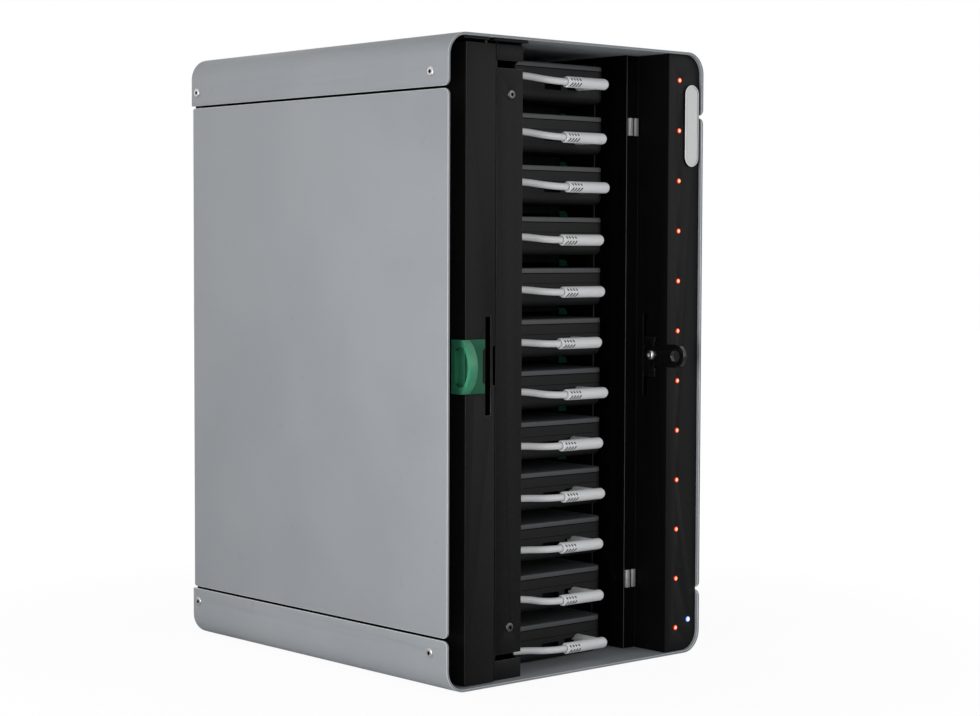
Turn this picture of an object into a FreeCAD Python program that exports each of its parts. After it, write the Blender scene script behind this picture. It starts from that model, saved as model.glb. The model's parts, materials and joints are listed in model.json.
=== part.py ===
import FreeCAD, Part
import Sketcher

import math
import os
import re

# Charging station: a tall sheet-metal box with twelve bays stacked behind one doorway.
# x runs from the left side to the right, y from the doorway to the back, z up.
# Sizes are taken from the outer left side, from the front plane and from the floor.

BAYS = 12
VENTS = 8
RIBS = 6
CHIPS = 6

# Small round things that repeat are cut with this many flat sides.
SIDES = 8
LEAD_SIDES = 6

SIZES = (
    # outer shell
    ("shell_width", 335.0),
    ("shell_depth", 410.0),
    ("shell_height", 600.0),
    ("shell_sheet", 2.4),
    ("corner_round", 21.5),
    ("cap_flange", 48.8),
    ("cap_gap", 2.4),
    ("front_ease", 6.0),
    ("rear_ease", 2.5),
    ("panel_setback", 2.5),
    ("inner_sheet", 1.5),
    ("shell_screw_radius", 4.6),
    ("shell_screw_head", 1.4),
    ("shell_screw_shank", 2.4),
    ("shell_screw_length", 9.0),
    ("shell_screw_front", 24.3),
    ("shell_screw_rear_gap", 10.3),
    ("shell_screw_drop", 35.3),
    ("screw_socket", 1.7),
    # sliding door, stored in the left pocket
    ("door_face", 7.4),
    ("door_left", 27.6),
    ("door_right", 63.6),
    ("door_box_depth", 22.0),
    ("door_fit", 0.4),
    ("door_low", 3.2),
    ("door_top_gap", 7.6),
    ("door_wall_low", 5.6),
    ("door_slot_left", 51.8),
    ("door_slot_width", 6.7),
    ("door_slot_half", 45.7),
    ("door_notch_depth", 3.0),
    ("door_notch_half", 18.3),
    ("hinge_x", 56.0),
    ("hinge_inset", 4.0),
    ("hinge_closed_y", 34.7),
    ("hinge_rod_radius", 2.0),
    ("knuckle_play", 0.1),
    ("knuckle_radius", 3.6),
    ("knuckle_height", 60.0),
    ("knuckle_low", 30.0),
    ("pin_radius", 1.6),
    ("pin_y", 13.0),
    ("bushing_radius", 2.8),
    ("bushing_bore", 2.2),
    ("bushing_height", 2.0),
    ("bushing_lift", 0.3),
    ("slot_play", 0.3),
    ("slot_end_play", 0.8),
    ("track_sheet", 2.5),
    ("track_top_left", 22.0),
    ("track_front", 4.0),
    ("track_low_left", 46.0),
    ("track_low_right", 66.0),
    ("track_low_front", 10.0),
    ("track_low_reach", 16.0),
    # green pull on the door's free edge
    ("pull_left", 21.5),
    ("pull_band", 9.6),
    ("grip_drop", 2.9),
    ("pull_half", 24.8),
    ("pull_front", 6.0),
    ("pull_back", 20.0),
    ("pull_round", 32.7),
    ("pull_wall", 3.3),
    ("pull_hole_back", 14.5),
    ("pull_hole_half", 17.9),
    ("pull_hole_round", 4.5),
    ("pull_plate", 2.0),
    ("pull_side_plate", 2.5),
    ("pull_plate_right", 49.7),
    ("pull_waist_right", 47.4),
    ("pull_waist_half", 14.8),
    ("pull_waist_ease", 2.3),
    ("pull_screw_radius", 1.6),
    ("pull_recess", 0.6),
    ("pull_skin", 1.1),
    ("pull_screw_head", 3.2),
    ("pull_screw_rise", 9.0),
    ("pull_screw_x", 41.0),
    # cable post beside the door
    ("post_face", 11.5),
    ("post_left", 69.0),
    ("post_right", 101.0),
    ("post_back", 53.7),
    ("post_block_drop", 21.5),
    ("post_top_gap", 6.8),
    ("post_foot_top", 20.7),
    ("cover_low", 26.3),
    ("cover_drop", 28.6),
    ("cover_inset", 0.7),
    ("post_slot_back", 21.1),
    ("cover_screw_x", 86.7),
    ("cover_screw_low", 50.7),
    ("cover_screw_drop", 52.5),
    ("cover_screw_radius", 4.6),
    ("cover_screw_head", 2.0),
    ("cover_screw_shank", 2.0),
    ("cover_screw_length", 9.0),
    ("bridge_half", 9.0),
    ("lead_line", 33.0),
    ("wall_back_gap", 14.6),
    # right-hand inner wall with the door rebate and the light column
    ("column_face", 3.4),
    ("column_width", 46.0),
    ("rebate_back", 46.0),
    ("rebate_step", 16.0),
    ("wall_slot_y", 34.0),
    ("wall_slot_width", 5.6),
    ("wall_slot_half", 41.1),
    ("led_inset", 31.2),
    ("led_low", 26.3),
    ("led_bore", 2.7),
    ("led_radius", 2.5),
    ("led_proud", 1.2),
    ("power_led_inset", 13.3),
    ("power_led_z", 32.9),
    ("power_led_radius", 2.2),
    ("led_board_front", 13.0),
    ("led_board_sheet", 1.6),
    ("led_board_reach", 8.2),
    ("led_board_gap", 7.0),
    ("led_board_low", 14.0),
    ("spacer_radius", 2.4),
    ("spacer_reach", 10.8),
    ("badge_inset", 24.9),
    ("badge_width", 19.5),
    ("badge_drop", 113.0),
    ("badge_height", 81.0),
    ("badge_thick", 2.5),
    ("badge_ease", 0.05),
    # padlock hasp on the rebate wall
    ("hasp_thick", 4.0),
    ("hasp_front", 16.4),
    ("hasp_back", 31.5),
    ("hasp_drop", 0.2),
    ("hasp_base_half", 19.5),
    ("hasp_base_drop", 1.6),
    ("hasp_tab_half", 11.6),
    ("hasp_base_round", 5.0),
    ("hasp_nose_ease", 0.04),
    ("hasp_eye_y", 11.0),
    ("hasp_eye_radius", 6.0),
    ("hasp_notch_radius", 2.2),
    ("hasp_bolt_y", 22.1),
    ("hasp_bolt_radius", 5.1),
    ("hasp_bolt_head", 2.9),
    ("hasp_bolt_shank", 2.9),
    ("hasp_bolt_socket", 1.9),
    ("hasp_nut_radius", 5.6),
    ("hasp_nut_height", 4.0),
    # magnet catches on the rebate's step
    ("magnet_gap", 1.2),
    ("magnet_width", 12.6),
    ("magnet_depth", 3.0),
    ("magnet_half", 8.8),
    ("magnet_low", 73.6),
    ("magnet_drop", 73.3),
    ("magnet_pole", 5.0),
    ("magnet_recess", 0.8),
    ("wall_screw_y", 58.3),
    ("wall_screw_radius", 3.0),
    ("wall_screw_head", 1.6),
    ("wall_screw_shank", 1.6),
    ("wall_screw_length", 7.0),
    # racks, shelves and docked devices
    ("rack_sheet", 1.7),
    ("rack_front", 90.0),
    ("rack_rear_gap", 10.4),
    ("rack_low", 8.0),
    ("shelf_front", 126.0),
    ("shelf_thick", 8.0),
    ("shelf_notch", 14.0),
    ("shelf_rib", 2.0),
    ("bumper_width", 11.5),
    ("bumper_high", 5.0),
    ("bumper_low", 11.8),
    ("bumper_round", 5.0),
    ("device_left", 88.0),
    ("device_gap", 21.6),
    ("device_front", 54.0),
    ("device_rear_gap", 65.4),
    ("bay_room", 12.8),
    ("device_corner", 11.0),
    ("device_underside", 6.5),
    ("device_lid", 4.6),
    ("device_seam", 0.7),
    ("port_height", 14.8),
    ("port_half_width", 12.5),
    ("port_half_height", 3.2),
    ("port_depth", 6.0),
    ("side_port_length", 24.0),
    ("side_port_inset", 61.4),
    ("side_port_half", 2.6),
    ("side_port_rise", 4.0),
    # charge leads and their angled plugs
    ("lead_radius", 3.3),
    ("grommet_radius", 6.0),
    ("grommet_thick", 2.4),
    ("grommet_shank", 4.6),
    ("plug_line", 22.0),
    ("plug_radius", 5.35),
    ("plug_neck_radius", 4.7),
    ("plug_neck", 3.4),
    ("plug_inset", 32.5),
    ("plug_length", 54.8),
    ("stub_radius", 4.7),
    ("stub_back", 8.0),
    ("tongue_half_width", 4.2),
    ("tongue_half_height", 1.3),
    ("tongue_reach", 3.6),
    # rear panel, mains inlet and electronics
    ("back_flange", 11.0),
    ("vent_left", 100.0),
    ("vent_length", 60.0),
    ("vent_height", 4.0),
    ("vent_drop", 180.0),
    ("vent_pitch", 14.0),
    ("vent_column", 80.0),
    ("inlet_inset", 49.0),
    ("inlet_width", 28.0),
    ("inlet_low", 70.0),
    ("inlet_height", 48.0),
    ("inlet_lip", 2.5),
    ("inlet_lip_thick", 2.0),
    ("inlet_body", 26.0),
    ("socket_inset", 2.6),
    ("socket_low", 4.0),
    ("socket_height", 19.0),
    ("socket_depth", 17.0),
    ("blade_length", 11.0),
    ("blade_half_width", 2.0),
    ("blade_half_thick", 1.0),
    ("blade_spread", 7.0),
    ("blade_low_rise", 7.0),
    ("blade_high_rise", 12.0),
    ("fuse_low", 27.0),
    ("fuse_height", 15.0),
    ("fuse_proud", 1.2),
    ("supply_front", 170.0),
    ("supply_rear_gap", 45.4),
    ("supply_low", 150.0),
    ("supply_high", 330.0),
    ("supply_thick", 42.0),
    ("supply_rib", 3.0),
    ("board_front", 120.0),
    ("board_rear_gap", 35.4),
    ("board_rise", 30.0),
    ("board_drop", 40.0),
    ("board_stand", 6.0),
    ("board_sheet", 1.6),
    ("board_inset", 12.0),
    ("board_chip", 18.0),
    ("board_chip_height", 12.0),
)

# Sizes that follow from others: the right-hand wall keeps its distance from the right side, the
# door is as long as its doorway is wide, and all that sits high up hangs from the ceiling.
FOLLOWING = (
    ("rebate_wall", "shell_width - column_width"),
    ("wall_left", "rebate_wall - rebate_step"),
    ("wall_back", "shell_depth - wall_back_gap"),
    ("shell_screw_rear", "shell_depth - shell_screw_rear_gap"),
    ("door_high", "shell_height - door_top_gap"),
    ("door_length", "rebate_wall - hinge_x - door_fit"),
    ("hinge_y", "door_face + door_length - hinge_inset"),
    ("door_travel", "hinge_y - hinge_closed_y"),
    ("grip_height", "shell_height / 2 - grip_drop"),
    ("pull_low", "grip_height - pull_half"),
    ("pull_high", "grip_height + pull_half"),
    ("door_slot_low", "grip_height - door_slot_half"),
    ("door_slot_high", "grip_height + door_slot_half"),
    ("door_notch_low", "grip_height - door_notch_half"),
    ("door_notch_high", "grip_height + door_notch_half"),
    ("pull_hole_low", "grip_height - pull_hole_half"),
    ("pull_hole_high", "grip_height + pull_hole_half"),
    ("pull_waist_low", "grip_height - pull_waist_half"),
    ("pull_waist_high", "grip_height + pull_waist_half"),
    ("knuckle_pitch", "(shell_height - 2 * knuckle_low - knuckle_height) / 2"),
    ("track_low_back", "hinge_y + track_low_reach"),
    ("post_block_low", "shell_height - post_block_drop"),
    ("post_block_top", "shell_height - post_top_gap"),
    ("cover_high", "shell_height - cover_drop"),
    ("cover_screw_high", "shell_height - cover_screw_drop"),
    ("hasp_mid", "shell_height / 2 - hasp_drop"),
    ("wall_slot_low", "hasp_mid - wall_slot_half"),
    ("wall_slot_high", "hasp_mid + wall_slot_half"),
    ("led_x", "shell_width - led_inset"),
    ("led_board_left", "led_x - led_board_reach"),
    ("led_board_right", "shell_width - led_board_gap"),
    ("led_board_high", "shell_height - led_board_low"),
    ("spacer_x", "led_x + spacer_reach"),
    ("power_led_x", "shell_width - power_led_inset"),
    ("badge_left", "shell_width - badge_inset"),
    ("badge_low", "shell_height - badge_drop"),
    ("magnet_left", "wall_left + magnet_gap"),
    ("magnet_high", "shell_height - magnet_drop"),
    ("bay_pitch", f"(shell_height - 2 * shell_sheet) / {BAYS}"),
    ("rack_back", "wall_back - rack_rear_gap"),
    ("rack_high", "shell_height - rack_low"),
    ("device_right", "wall_left - device_gap"),
    ("device_back", "wall_back - device_rear_gap"),
    ("device_height", "bay_pitch - bay_room"),
    ("side_port_right", "device_right - side_port_inset"),
    ("side_port_left", "side_port_right - side_port_length"),
    ("plug_right", "device_right - plug_inset"),
    ("port_centre", "plug_right - stub_back"),
    ("vent_low", "shell_height - vent_drop"),
    ("inlet_left", "shell_width - inlet_inset"),
    ("supply_back", "wall_back - supply_rear_gap"),
    ("board_low", "supply_high + board_rise"),
    ("board_back", "wall_back - board_rear_gap"),
    ("board_high", "shell_height - board_drop"),
)

# How far each charge lead and plug lies off its regular place, top bay first.
PLUG_SHIFT = (2.0, -0.2, 4.1, -3.1, -1.3, -5.0, 3.8, -2.6, 0.4, -1.7, -0.5, 4.6)
PLUG_LIFT = (1.4, -1.6, 0.8, -0.4, -0.7, -0.4, -0.1, 0.5, 0.4, 0.8, -0.4, 1.8)
LEAD_RISE = (4.4, 4.4, 4.1, 3.2, 3.1, 2.2, 4.7, 1.8, 1.5, 1.2, 5.2, 2.5)

doc = FreeCAD.newDocument("charging_station")
sizes = doc.addObject("Spreadsheet::Sheet", "sizes")
names = {}


def enter(row, name, value):
    sizes.set(f"A{row}", name)
    sizes.set(f"B{row}", repr(value))
    sizes.setAlias(f"B{row}", name)
    names[name] = value


row = 1
for name, value in SIZES:
    enter(row, name, value)
    row += 1
for name, expression in FOLLOWING:
    sizes.set(f"A{row}", name)
    sizes.set(f"B{row}", "=" + expression)
    sizes.setAlias(f"B{row}", name)
    names[name] = expression
    row += 1
for n in range(BAYS):
    enter(row, f"plug_shift_{n + 1:02d}", PLUG_SHIFT[n])
    enter(row + 1, f"plug_lift_{n + 1:02d}", PLUG_LIFT[n])
    enter(row + 2, f"lead_rise_{n + 1:02d}", LEAD_RISE[n])
    row += 3
doc.recompute()


def bound(text):
    """The expression with each size's name pointed at its cell."""
    return re.sub(r"[a-z_]+[a-z_0-9]*", lambda m: "sizes." + m[0] if m[0] in names else m[0], text)


def value_of(text):
    """The number that an expression of sizes stands for."""
    found = sizes.evalExpression(bound(text))
    return float(getattr(found, "Value", found))


def bind(thing, prop, text):
    thing.setExpression(prop, bound(text))


def place(thing, x, y, z):
    bind(thing, "Placement.Base.x", x)
    bind(thing, "Placement.Base.y", y)
    bind(thing, "Placement.Base.z", z)


# Lines that many pieces share.
FLOOR = "shell_sheet"
CEILING = "shell_height - shell_sheet"
TRACK = "shell_height - shell_sheet - track_sheet"
INNER_RIGHT = "shell_width - shell_sheet"
MIDDLE_X = "-shell_width / 2"
MIDDLE_Y = "(hasp_eye_y + hasp_tab_half - shell_depth) / 2"


def block(name, x, y, z):
    """A straight block; each of x, y and z is its low and high end."""
    box = doc.addObject("Part::Box", name)
    bind(box, "Length", f"({x[1]}) - ({x[0]})")
    bind(box, "Width", f"({y[1]}) - ({y[0]})")
    bind(box, "Height", f"({z[1]}) - ({z[0]})")
    place(box, x[0], y[0], z[0])
    return box


TURNS = {
    "x": FreeCAD.Rotation(FreeCAD.Vector(0, 1, 0), 90),
    "y": FreeCAD.Rotation(FreeCAD.Vector(1, 0, 0), -90),
    "z": FreeCAD.Rotation(),
}


def round_bar(name, axis, radius, low, high, first, second):
    """A round bar along one axis; first and second are its other two coordinates."""
    bar = doc.addObject("Part::Cylinder", name)
    bind(bar, "Radius", radius)
    bind(bar, "Height", f"({high}) - ({low})")
    bar.Placement = FreeCAD.Placement(FreeCAD.Vector(), TURNS[axis])
    if axis == "x":
        place(bar, low, first, second)
    elif axis == "y":
        place(bar, first, low, second)
    else:
        place(bar, first, second, low)
    return bar


def sided_bar(name, sides, axis, radius, low, high, first, second):
    """As a round bar, but with flat sides whose corners lie on the radius."""
    bar = doc.addObject("Part::Prism", name)
    bar.Polygon = sides
    bind(bar, "Circumradius", radius)
    bind(bar, "Height", f"({high}) - ({low})")
    bar.Placement = FreeCAD.Placement(FreeCAD.Vector(), TURNS[axis])
    if axis == "x":
        place(bar, low, first, second)
    elif axis == "y":
        place(bar, first, low, second)
    else:
        place(bar, first, second, low)
    return bar


def joined(name, pieces):
    fused = doc.addObject("Part::MultiFuse", name)
    fused.Shapes = pieces
    fused.Refine = True
    return fused


def apart(name, pieces):
    group = doc.addObject("Part::Compound", name)
    group.Links = pieces
    return group


def without(name, base, tools):
    tool = tools[0]
    if len(tools) > 1:
        tool = doc.addObject("Part::MultiFuse", name + "_tools")
        tool.Shapes = tools
    left = doc.addObject("Part::Cut", name)
    left.Base = base
    left.Tool = tool
    left.Refine = True
    return left


def shared(name, first, second):
    both = doc.addObject("Part::Common", name)
    both.Base = first
    both.Tool = second
    return both


pieces = []


def piece(thing, label, y="0"):
    """Names a finished sub-part and stands it in the object's own frame."""
    if thing.TypeId in ("Part::Box", "Part::Cylinder", "Part::Prism"):
        thing = apart(label + "_piece", [thing])
    thing.Label = label
    place(thing, MIDDLE_X, f"{MIDDLE_Y} + ({y})", "0")
    pieces.append(thing)
    return thing


def new_body(name):
    body = doc.addObject("PartDesign::Body", name)
    return body


def origin_feature(body, role):
    for feature in body.Origin.OriginFeatures:
        if feature.Role == role:
            return feature
    raise RuntimeError(role)


def new_sketch(body, name, role, offset="0"):
    sketch = body.newObject("Sketcher::SketchObject", name)
    sketch.AttachmentSupport = [(origin_feature(body, role), "")]
    sketch.MapMode = "FlatFace"
    bind(sketch, "AttachmentOffset.Base.z", offset)
    return sketch


def pin_point(sketch, geo, pos, x, y):
    """Holds one point of a sketch at its place by sizes from the sketch's origin."""
    for kind, text, axis in (("DistanceX", x, -2), ("DistanceY", y, -1)):
        number = value_of(text)
        if abs(number) < 1e-9:
            sketch.addConstraint(Sketcher.Constraint("PointOnObject", geo, pos, axis))
            continue
        if number > 0:
            index = sketch.addConstraint(Sketcher.Constraint(kind, -1, 1, geo, pos, number))
            sketch.setExpression(f"Constraints[{index}]", bound(text))
        else:
            index = sketch.addConstraint(Sketcher.Constraint(kind, geo, pos, -1, 1, -number))
            sketch.setExpression(f"Constraints[{index}]", bound(f"-({text})"))


def outline(sketch, points):
    """A closed outline of straight lines through points given as pairs of sizes."""
    spots = [FreeCAD.Vector(value_of(x), value_of(y), 0) for x, y in points]
    count = len(spots)
    first = None
    for n in range(count):
        line = Part.LineSegment(spots[n], spots[(n + 1) % count])
        geo = sketch.addGeometry(line, False)
        if first is None:
            first = geo
    for n in range(count):
        after = (n + 1) % count
        sketch.addConstraint(Sketcher.Constraint("Coincident", first + n, 2, first + after, 1))
        pin_point(sketch, first + n, 1, points[n][0], points[n][1])


def frame_of(sketch, x, y):
    outline(sketch, [(x[0], y[0]), (x[1], y[0]), (x[1], y[1]), (x[0], y[1])])


def ring(sketch, x, y, radius):
    """A circle held by its centre and its radius."""
    middle = FreeCAD.Vector(value_of(x), value_of(y), 0)
    circle = Part.Circle(middle, FreeCAD.Vector(0, 0, 1), value_of(radius))
    geo = sketch.addGeometry(circle, False)
    pin_point(sketch, geo, 3, x, y)
    index = sketch.addConstraint(Sketcher.Constraint("Radius", geo, value_of(radius)))
    sketch.setExpression(f"Constraints[{index}]", bound(radius))


def facets(sketch, sides, x, y, radius):
    """A regular outline in place of a circle, for small holes that a head covers."""
    points = []
    for n in range(sides):
        turn = 2 * math.pi * n / sides
        points.append(
            (
                f"{x} + {math.cos(turn):.6f} * ({radius})",
                f"{y} + {math.sin(turn):.6f} * ({radius})",
            )
        )
    outline(sketch, points)


def pad(body, name, sketch, length, back=False):
    feature = body.newObject("PartDesign::Pad", name)
    feature.Profile = sketch
    bind(feature, "Length", length)
    feature.Reversed = back
    doc.recompute()
    return feature


def pocket(body, name, sketch, length, back=False):
    """Cuts the sketch's outline out, and checks that something was cut."""
    before = body.Shape.Volume
    feature = body.newObject("PartDesign::Pocket", name)
    feature.Profile = sketch
    bind(feature, "Length", length)
    feature.Reversed = back
    doc.recompute()
    if not body.Shape.Volume < before * (1 - 1e-9):
        raise RuntimeError(name + " cuts nothing")
    return feature


def edges_where(shape, test):
    found = []
    for n, edge in enumerate(shape.Edges):
        box = edge.BoundBox
        if test(box.XMin, box.XMax, box.YMin, box.YMax, box.ZMin, box.ZMax):
            found.append(f"Edge{n + 1}")
    return found


def near(a, b):
    return abs(a - b) < 1e-4 * names["shell_height"]


def rounded(body, name, radius, test):
    doc.recompute()
    base = body.Tip
    feature = body.newObject("PartDesign::Fillet", name)
    feature.Base = (base, edges_where(base.Shape, test))
    bind(feature, "Radius", radius)
    doc.recompute()
    return feature


def row_of(body, name, originals, role, length, count):
    pattern = body.newObject("PartDesign::LinearPattern", name)
    pattern.Originals = originals
    pattern.Direction = (origin_feature(body, role), [""])
    bind(pattern, "Length", length)
    pattern.Occurrences = count
    body.Tip = pattern
    doc.recompute()
    return pattern


# Shell: a bent cap above and below, and a flat panel on each side between them.


def cap(label, low, high, web_low, web_high, flange_end):
    body = new_body(label)
    profile = new_sketch(body, label + "_section", "XZ_Plane")
    frame_of(profile, ("0", "shell_width"), (low, high))
    pad(body, label + "_pad", profile, "shell_depth", True)
    hollow = new_sketch(body, label + "_inside", "XZ_Plane")
    frame_of(hollow, ("shell_sheet", INNER_RIGHT), (web_low, web_high))
    pocket(body, label + "_hollow", hollow, "shell_depth", False)
    web_z = value_of(web_low) if flange_end == high else value_of(web_high)
    rounded(
        body,
        label + "_inner_corners",
        "corner_round - shell_sheet",
        lambda x0, x1, y0, y1, z0, z1: near(z0, web_z) and near(z1, web_z) and near(x0, x1),
    )
    edge_z = value_of(low) if flange_end == high else value_of(high)
    rounded(
        body,
        label + "_corners",
        "corner_round",
        lambda x0, x1, y0, y1, z0, z1: near(z0, edge_z) and near(z1, edge_z) and near(x0, x1),
    )
    end_z = value_of(flange_end)
    rounded(
        body,
        label + "_front_ease",
        "front_ease",
        lambda x0, x1, y0, y1, z0, z1: near(z0, end_z) and near(z1, end_z) and near(y0, 0)
        and near(y1, 0),
    )
    return body


top_cap = cap(
    "top_cap",
    "shell_height - cap_flange",
    "shell_height",
    "shell_height - cap_flange",
    CEILING,
    "shell_height - cap_flange",
)
bottom_cap = cap("bottom_cap", "0", "cap_flange", FLOOR, "cap_flange", "cap_flange")


def side_panel(label, x):
    body = new_body(label)
    profile = new_sketch(body, label + "_outline", "YZ_Plane", x[0])
    low = "cap_flange + cap_gap"
    high = "shell_height - cap_flange - cap_gap"
    frame_of(profile, ("0", "shell_depth - panel_setback"), (low, high))
    pad(body, label + "_pad", profile, f"({x[1]}) - ({x[0]})")
    rounded(
        body,
        label + "_front_ease",
        "front_ease",
        lambda x0, x1, y0, y1, z0, z1: near(z0, z1) and near(y0, 0) and near(y1, 0),
    )
    end = value_of("shell_depth - panel_setback")
    rounded(
        body,
        label + "_rear_ease",
        "rear_ease",
        lambda x0, x1, y0, y1, z0, z1: near(z0, z1) and near(y0, end) and near(y1, end),
    )
    return body


left_panel = side_panel("left_side_panel", ("0", "shell_sheet"))
right_panel = side_panel("right_side_panel", (INNER_RIGHT, "shell_width"))

shell_screws = []
for side in ("left", "right"):
    for spot_y in ("shell_screw_front", "shell_screw_rear"):
        for level, spot_z in (("low", "shell_screw_drop"), ("high", "shell_height - shell_screw_drop")):
            stem = f"shell_screw_{side}_{spot_y[12:]}_{level}"
            if side == "left":
                head = ("-shell_screw_head", "0")
                shank = ("0", "shell_screw_length")
                socket = ("-shell_screw_head", "0")
            else:
                head = ("shell_width", "shell_width + shell_screw_head")
                shank = ("shell_width - shell_screw_length", "shell_width")
                socket = head
            at = (spot_y, spot_z)
            top = sided_bar(stem + "_head", SIDES, "x", "shell_screw_radius", *head, *at)
            stalk = sided_bar(stem + "_shank", SIDES, "x", "shell_screw_shank", *shank, *at)
            hex_hole = sided_bar(stem + "_socket", 6, "x", "screw_socket", *socket, *at)
            bored = without(stem + "_bored", top, [hex_hole])
            shell_screws.append(joined(stem, [bored, stalk]))


def bored_for_screws(body, name, spots_z, side_x):
    """Holes for the shell screws through a flange."""
    holes = new_sketch(body, name, "YZ_Plane", side_x[0])
    for spot_y, spot_z in spots_z:
        facets(holes, SIDES, spot_y, spot_z, "shell_screw_shank")
    pocket(body, f"{name}_cut", holes, f"({side_x[1]}) - ({side_x[0]})", True)


for body, level in ((top_cap, "shell_height - shell_screw_drop"), (bottom_cap, "shell_screw_drop")):
    spots = (("shell_screw_front", level), ("shell_screw_rear", level))
    bored_for_screws(body, body.Name + "_left_bore", spots, ("0", "shell_sheet"))
    bored_for_screws(body, body.Name + "_right_bore", spots, (INNER_RIGHT, "shell_width"))

piece(top_cap, "top_cap")
piece(bottom_cap, "bottom_cap")
piece(left_panel, "left_side_panel")
piece(right_panel, "right_side_panel")
piece(apart("shell_screw_set", shell_screws), "shell_screws")

# Rear panel: a shallow tray with its rim turned back, two columns of vents and the inlet's cut-out.
back = new_body("back_panel")
tray = new_sketch(back, "back_outline", "XZ_Plane", "-wall_back")
frame_of(tray, (FLOOR, INNER_RIGHT), (FLOOR, CEILING))
pad(back, "back_pad", tray, "back_flange", True)
dish = new_sketch(back, "back_dish", "XZ_Plane", "-wall_back - inner_sheet")
frame_of(
    dish,
    ("shell_sheet + inner_sheet", f"{INNER_RIGHT} - inner_sheet"),
    ("shell_sheet + inner_sheet", f"{CEILING} - inner_sheet"),
)
pocket(back, "back_dish_cut", dish, "back_flange - inner_sheet", False)
back_web = value_of("wall_back + inner_sheet")
back_end = value_of("wall_back + back_flange")
rounded(
    back,
    "back_dish_corners",
    "corner_round - shell_sheet - inner_sheet",
    lambda x0, x1, y0, y1, z0, z1: near(x0, x1) and near(z0, z1) and near(y0, back_web)
    and near(y1, back_end),
)
rounded(
    back,
    "back_corners",
    "corner_round - shell_sheet",
    lambda x0, x1, y0, y1, z0, z1: near(x0, x1) and near(z0, z1),
)
vent = new_sketch(back, "vent_outline", "XZ_Plane", "-wall_back")
frame_of(vent, ("vent_left", "vent_left + vent_length"), ("vent_low", "vent_low + vent_height"))
vent_cut = pocket(back, "vent_cut", vent, "inner_sheet", False)
row_of(back, "vent_rows", [vent_cut], "Z_Axis", f"{VENTS - 1} * vent_pitch", VENTS)
second = new_sketch(back, "vent_outline_right", "XZ_Plane", "-wall_back")
frame_of(
    second,
    ("vent_left + vent_column", "vent_left + vent_column + vent_length"),
    ("vent_low", "vent_low + vent_height"),
)
second_cut = pocket(back, "vent_cut_right", second, "inner_sheet", False)
row_of(back, "vent_rows_right", [second_cut], "Z_Axis", f"{VENTS - 1} * vent_pitch", VENTS)
hatch = new_sketch(back, "inlet_cut_outline", "XZ_Plane", "-wall_back")
frame_of(hatch, ("inlet_left", "inlet_left + inlet_width"), ("inlet_low", "inlet_low + inlet_height"))
pocket(back, "inlet_cut", hatch, "inner_sheet", False)
rear_spots = (
    ("shell_screw_rear", "shell_screw_drop"),
    ("shell_screw_rear", "shell_height - shell_screw_drop"),
)
bored_for_screws(back, "back_left_bore", rear_spots, (FLOOR, "shell_sheet + inner_sheet"))
bored_for_screws(back, "back_right_bore", rear_spots, (f"{INNER_RIGHT} - inner_sheet", INNER_RIGHT))
piece(back, "back_panel")

# Pocket wall: the long sheet between the door's pocket and the bays.
pocket_wall = joined(
    "pocket_wall_body",
    [
        block(
            "pocket_wall_sheet",
            ("post_left", "post_left + inner_sheet"),
            ("post_face + inner_sheet", "wall_back"),
            (FLOOR, TRACK),
        ),
        block(
            "pocket_wall_turn",
            ("post_left - back_flange", "post_left + inner_sheet"),
            ("wall_back - inner_sheet", "wall_back"),
            (FLOOR, TRACK),
        ),
    ],
)
piece(pocket_wall, "pocket_wall")

# Cable post: right flange and rear web, a block above and below the screwed cover,
# round-ended slots beside the blocks, and a bridge behind each cover screw.
SHEET_IN = "post_face + inner_sheet"
POST_INNER = "post_left + inner_sheet"
post_solid = joined(
    "post_solid",
    [
        block(
            "post_flange",
            ("post_right - inner_sheet", "post_right"),
            (SHEET_IN, "post_back"),
            (FLOOR, TRACK),
        ),
        block(
            "post_web",
            (POST_INNER, "post_right"),
            ("post_back - inner_sheet", "post_back"),
            (FLOOR, TRACK),
        ),
        block(
            "post_head",
            ("post_left - cover_inset", "post_right"),
            ("post_face", SHEET_IN),
            ("post_block_low", "post_block_top"),
        ),
        block(
            "post_foot",
            ("post_left - cover_inset", "post_right"),
            ("post_face", SHEET_IN),
            (FLOOR, "post_foot_top"),
        ),
        block(
            "post_head_shelf",
            (POST_INNER, "post_right"),
            (SHEET_IN, "post_back"),
            ("post_block_top - inner_sheet", "post_block_top"),
        ),
    ]
    + [
        block(
            f"post_bridge_{level}",
            (POST_INNER, "post_right"),
            (SHEET_IN, f"{SHEET_IN} + inner_sheet"),
            (f"cover_screw_{level} - bridge_half", f"cover_screw_{level} + bridge_half"),
        )
        for level in ("low", "high")
    ],
)


def round_slot(stem, low, high):
    half = f"(({high}) - ({low})) / 2"
    middle = f"(({high}) + ({low})) / 2"
    length = block(
        stem + "_length",
        ("post_right - 2 * inner_sheet", "post_right + inner_sheet"),
        ("post_face", f"post_slot_back - {half}"),
        (low, high),
    )
    end = round_bar(
        stem + "_end",
        "x",
        half,
        "post_right - 2 * inner_sheet",
        "post_right + inner_sheet",
        f"post_slot_back - {half}",
        middle,
    )
    return joined(stem, [length, end])


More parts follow.
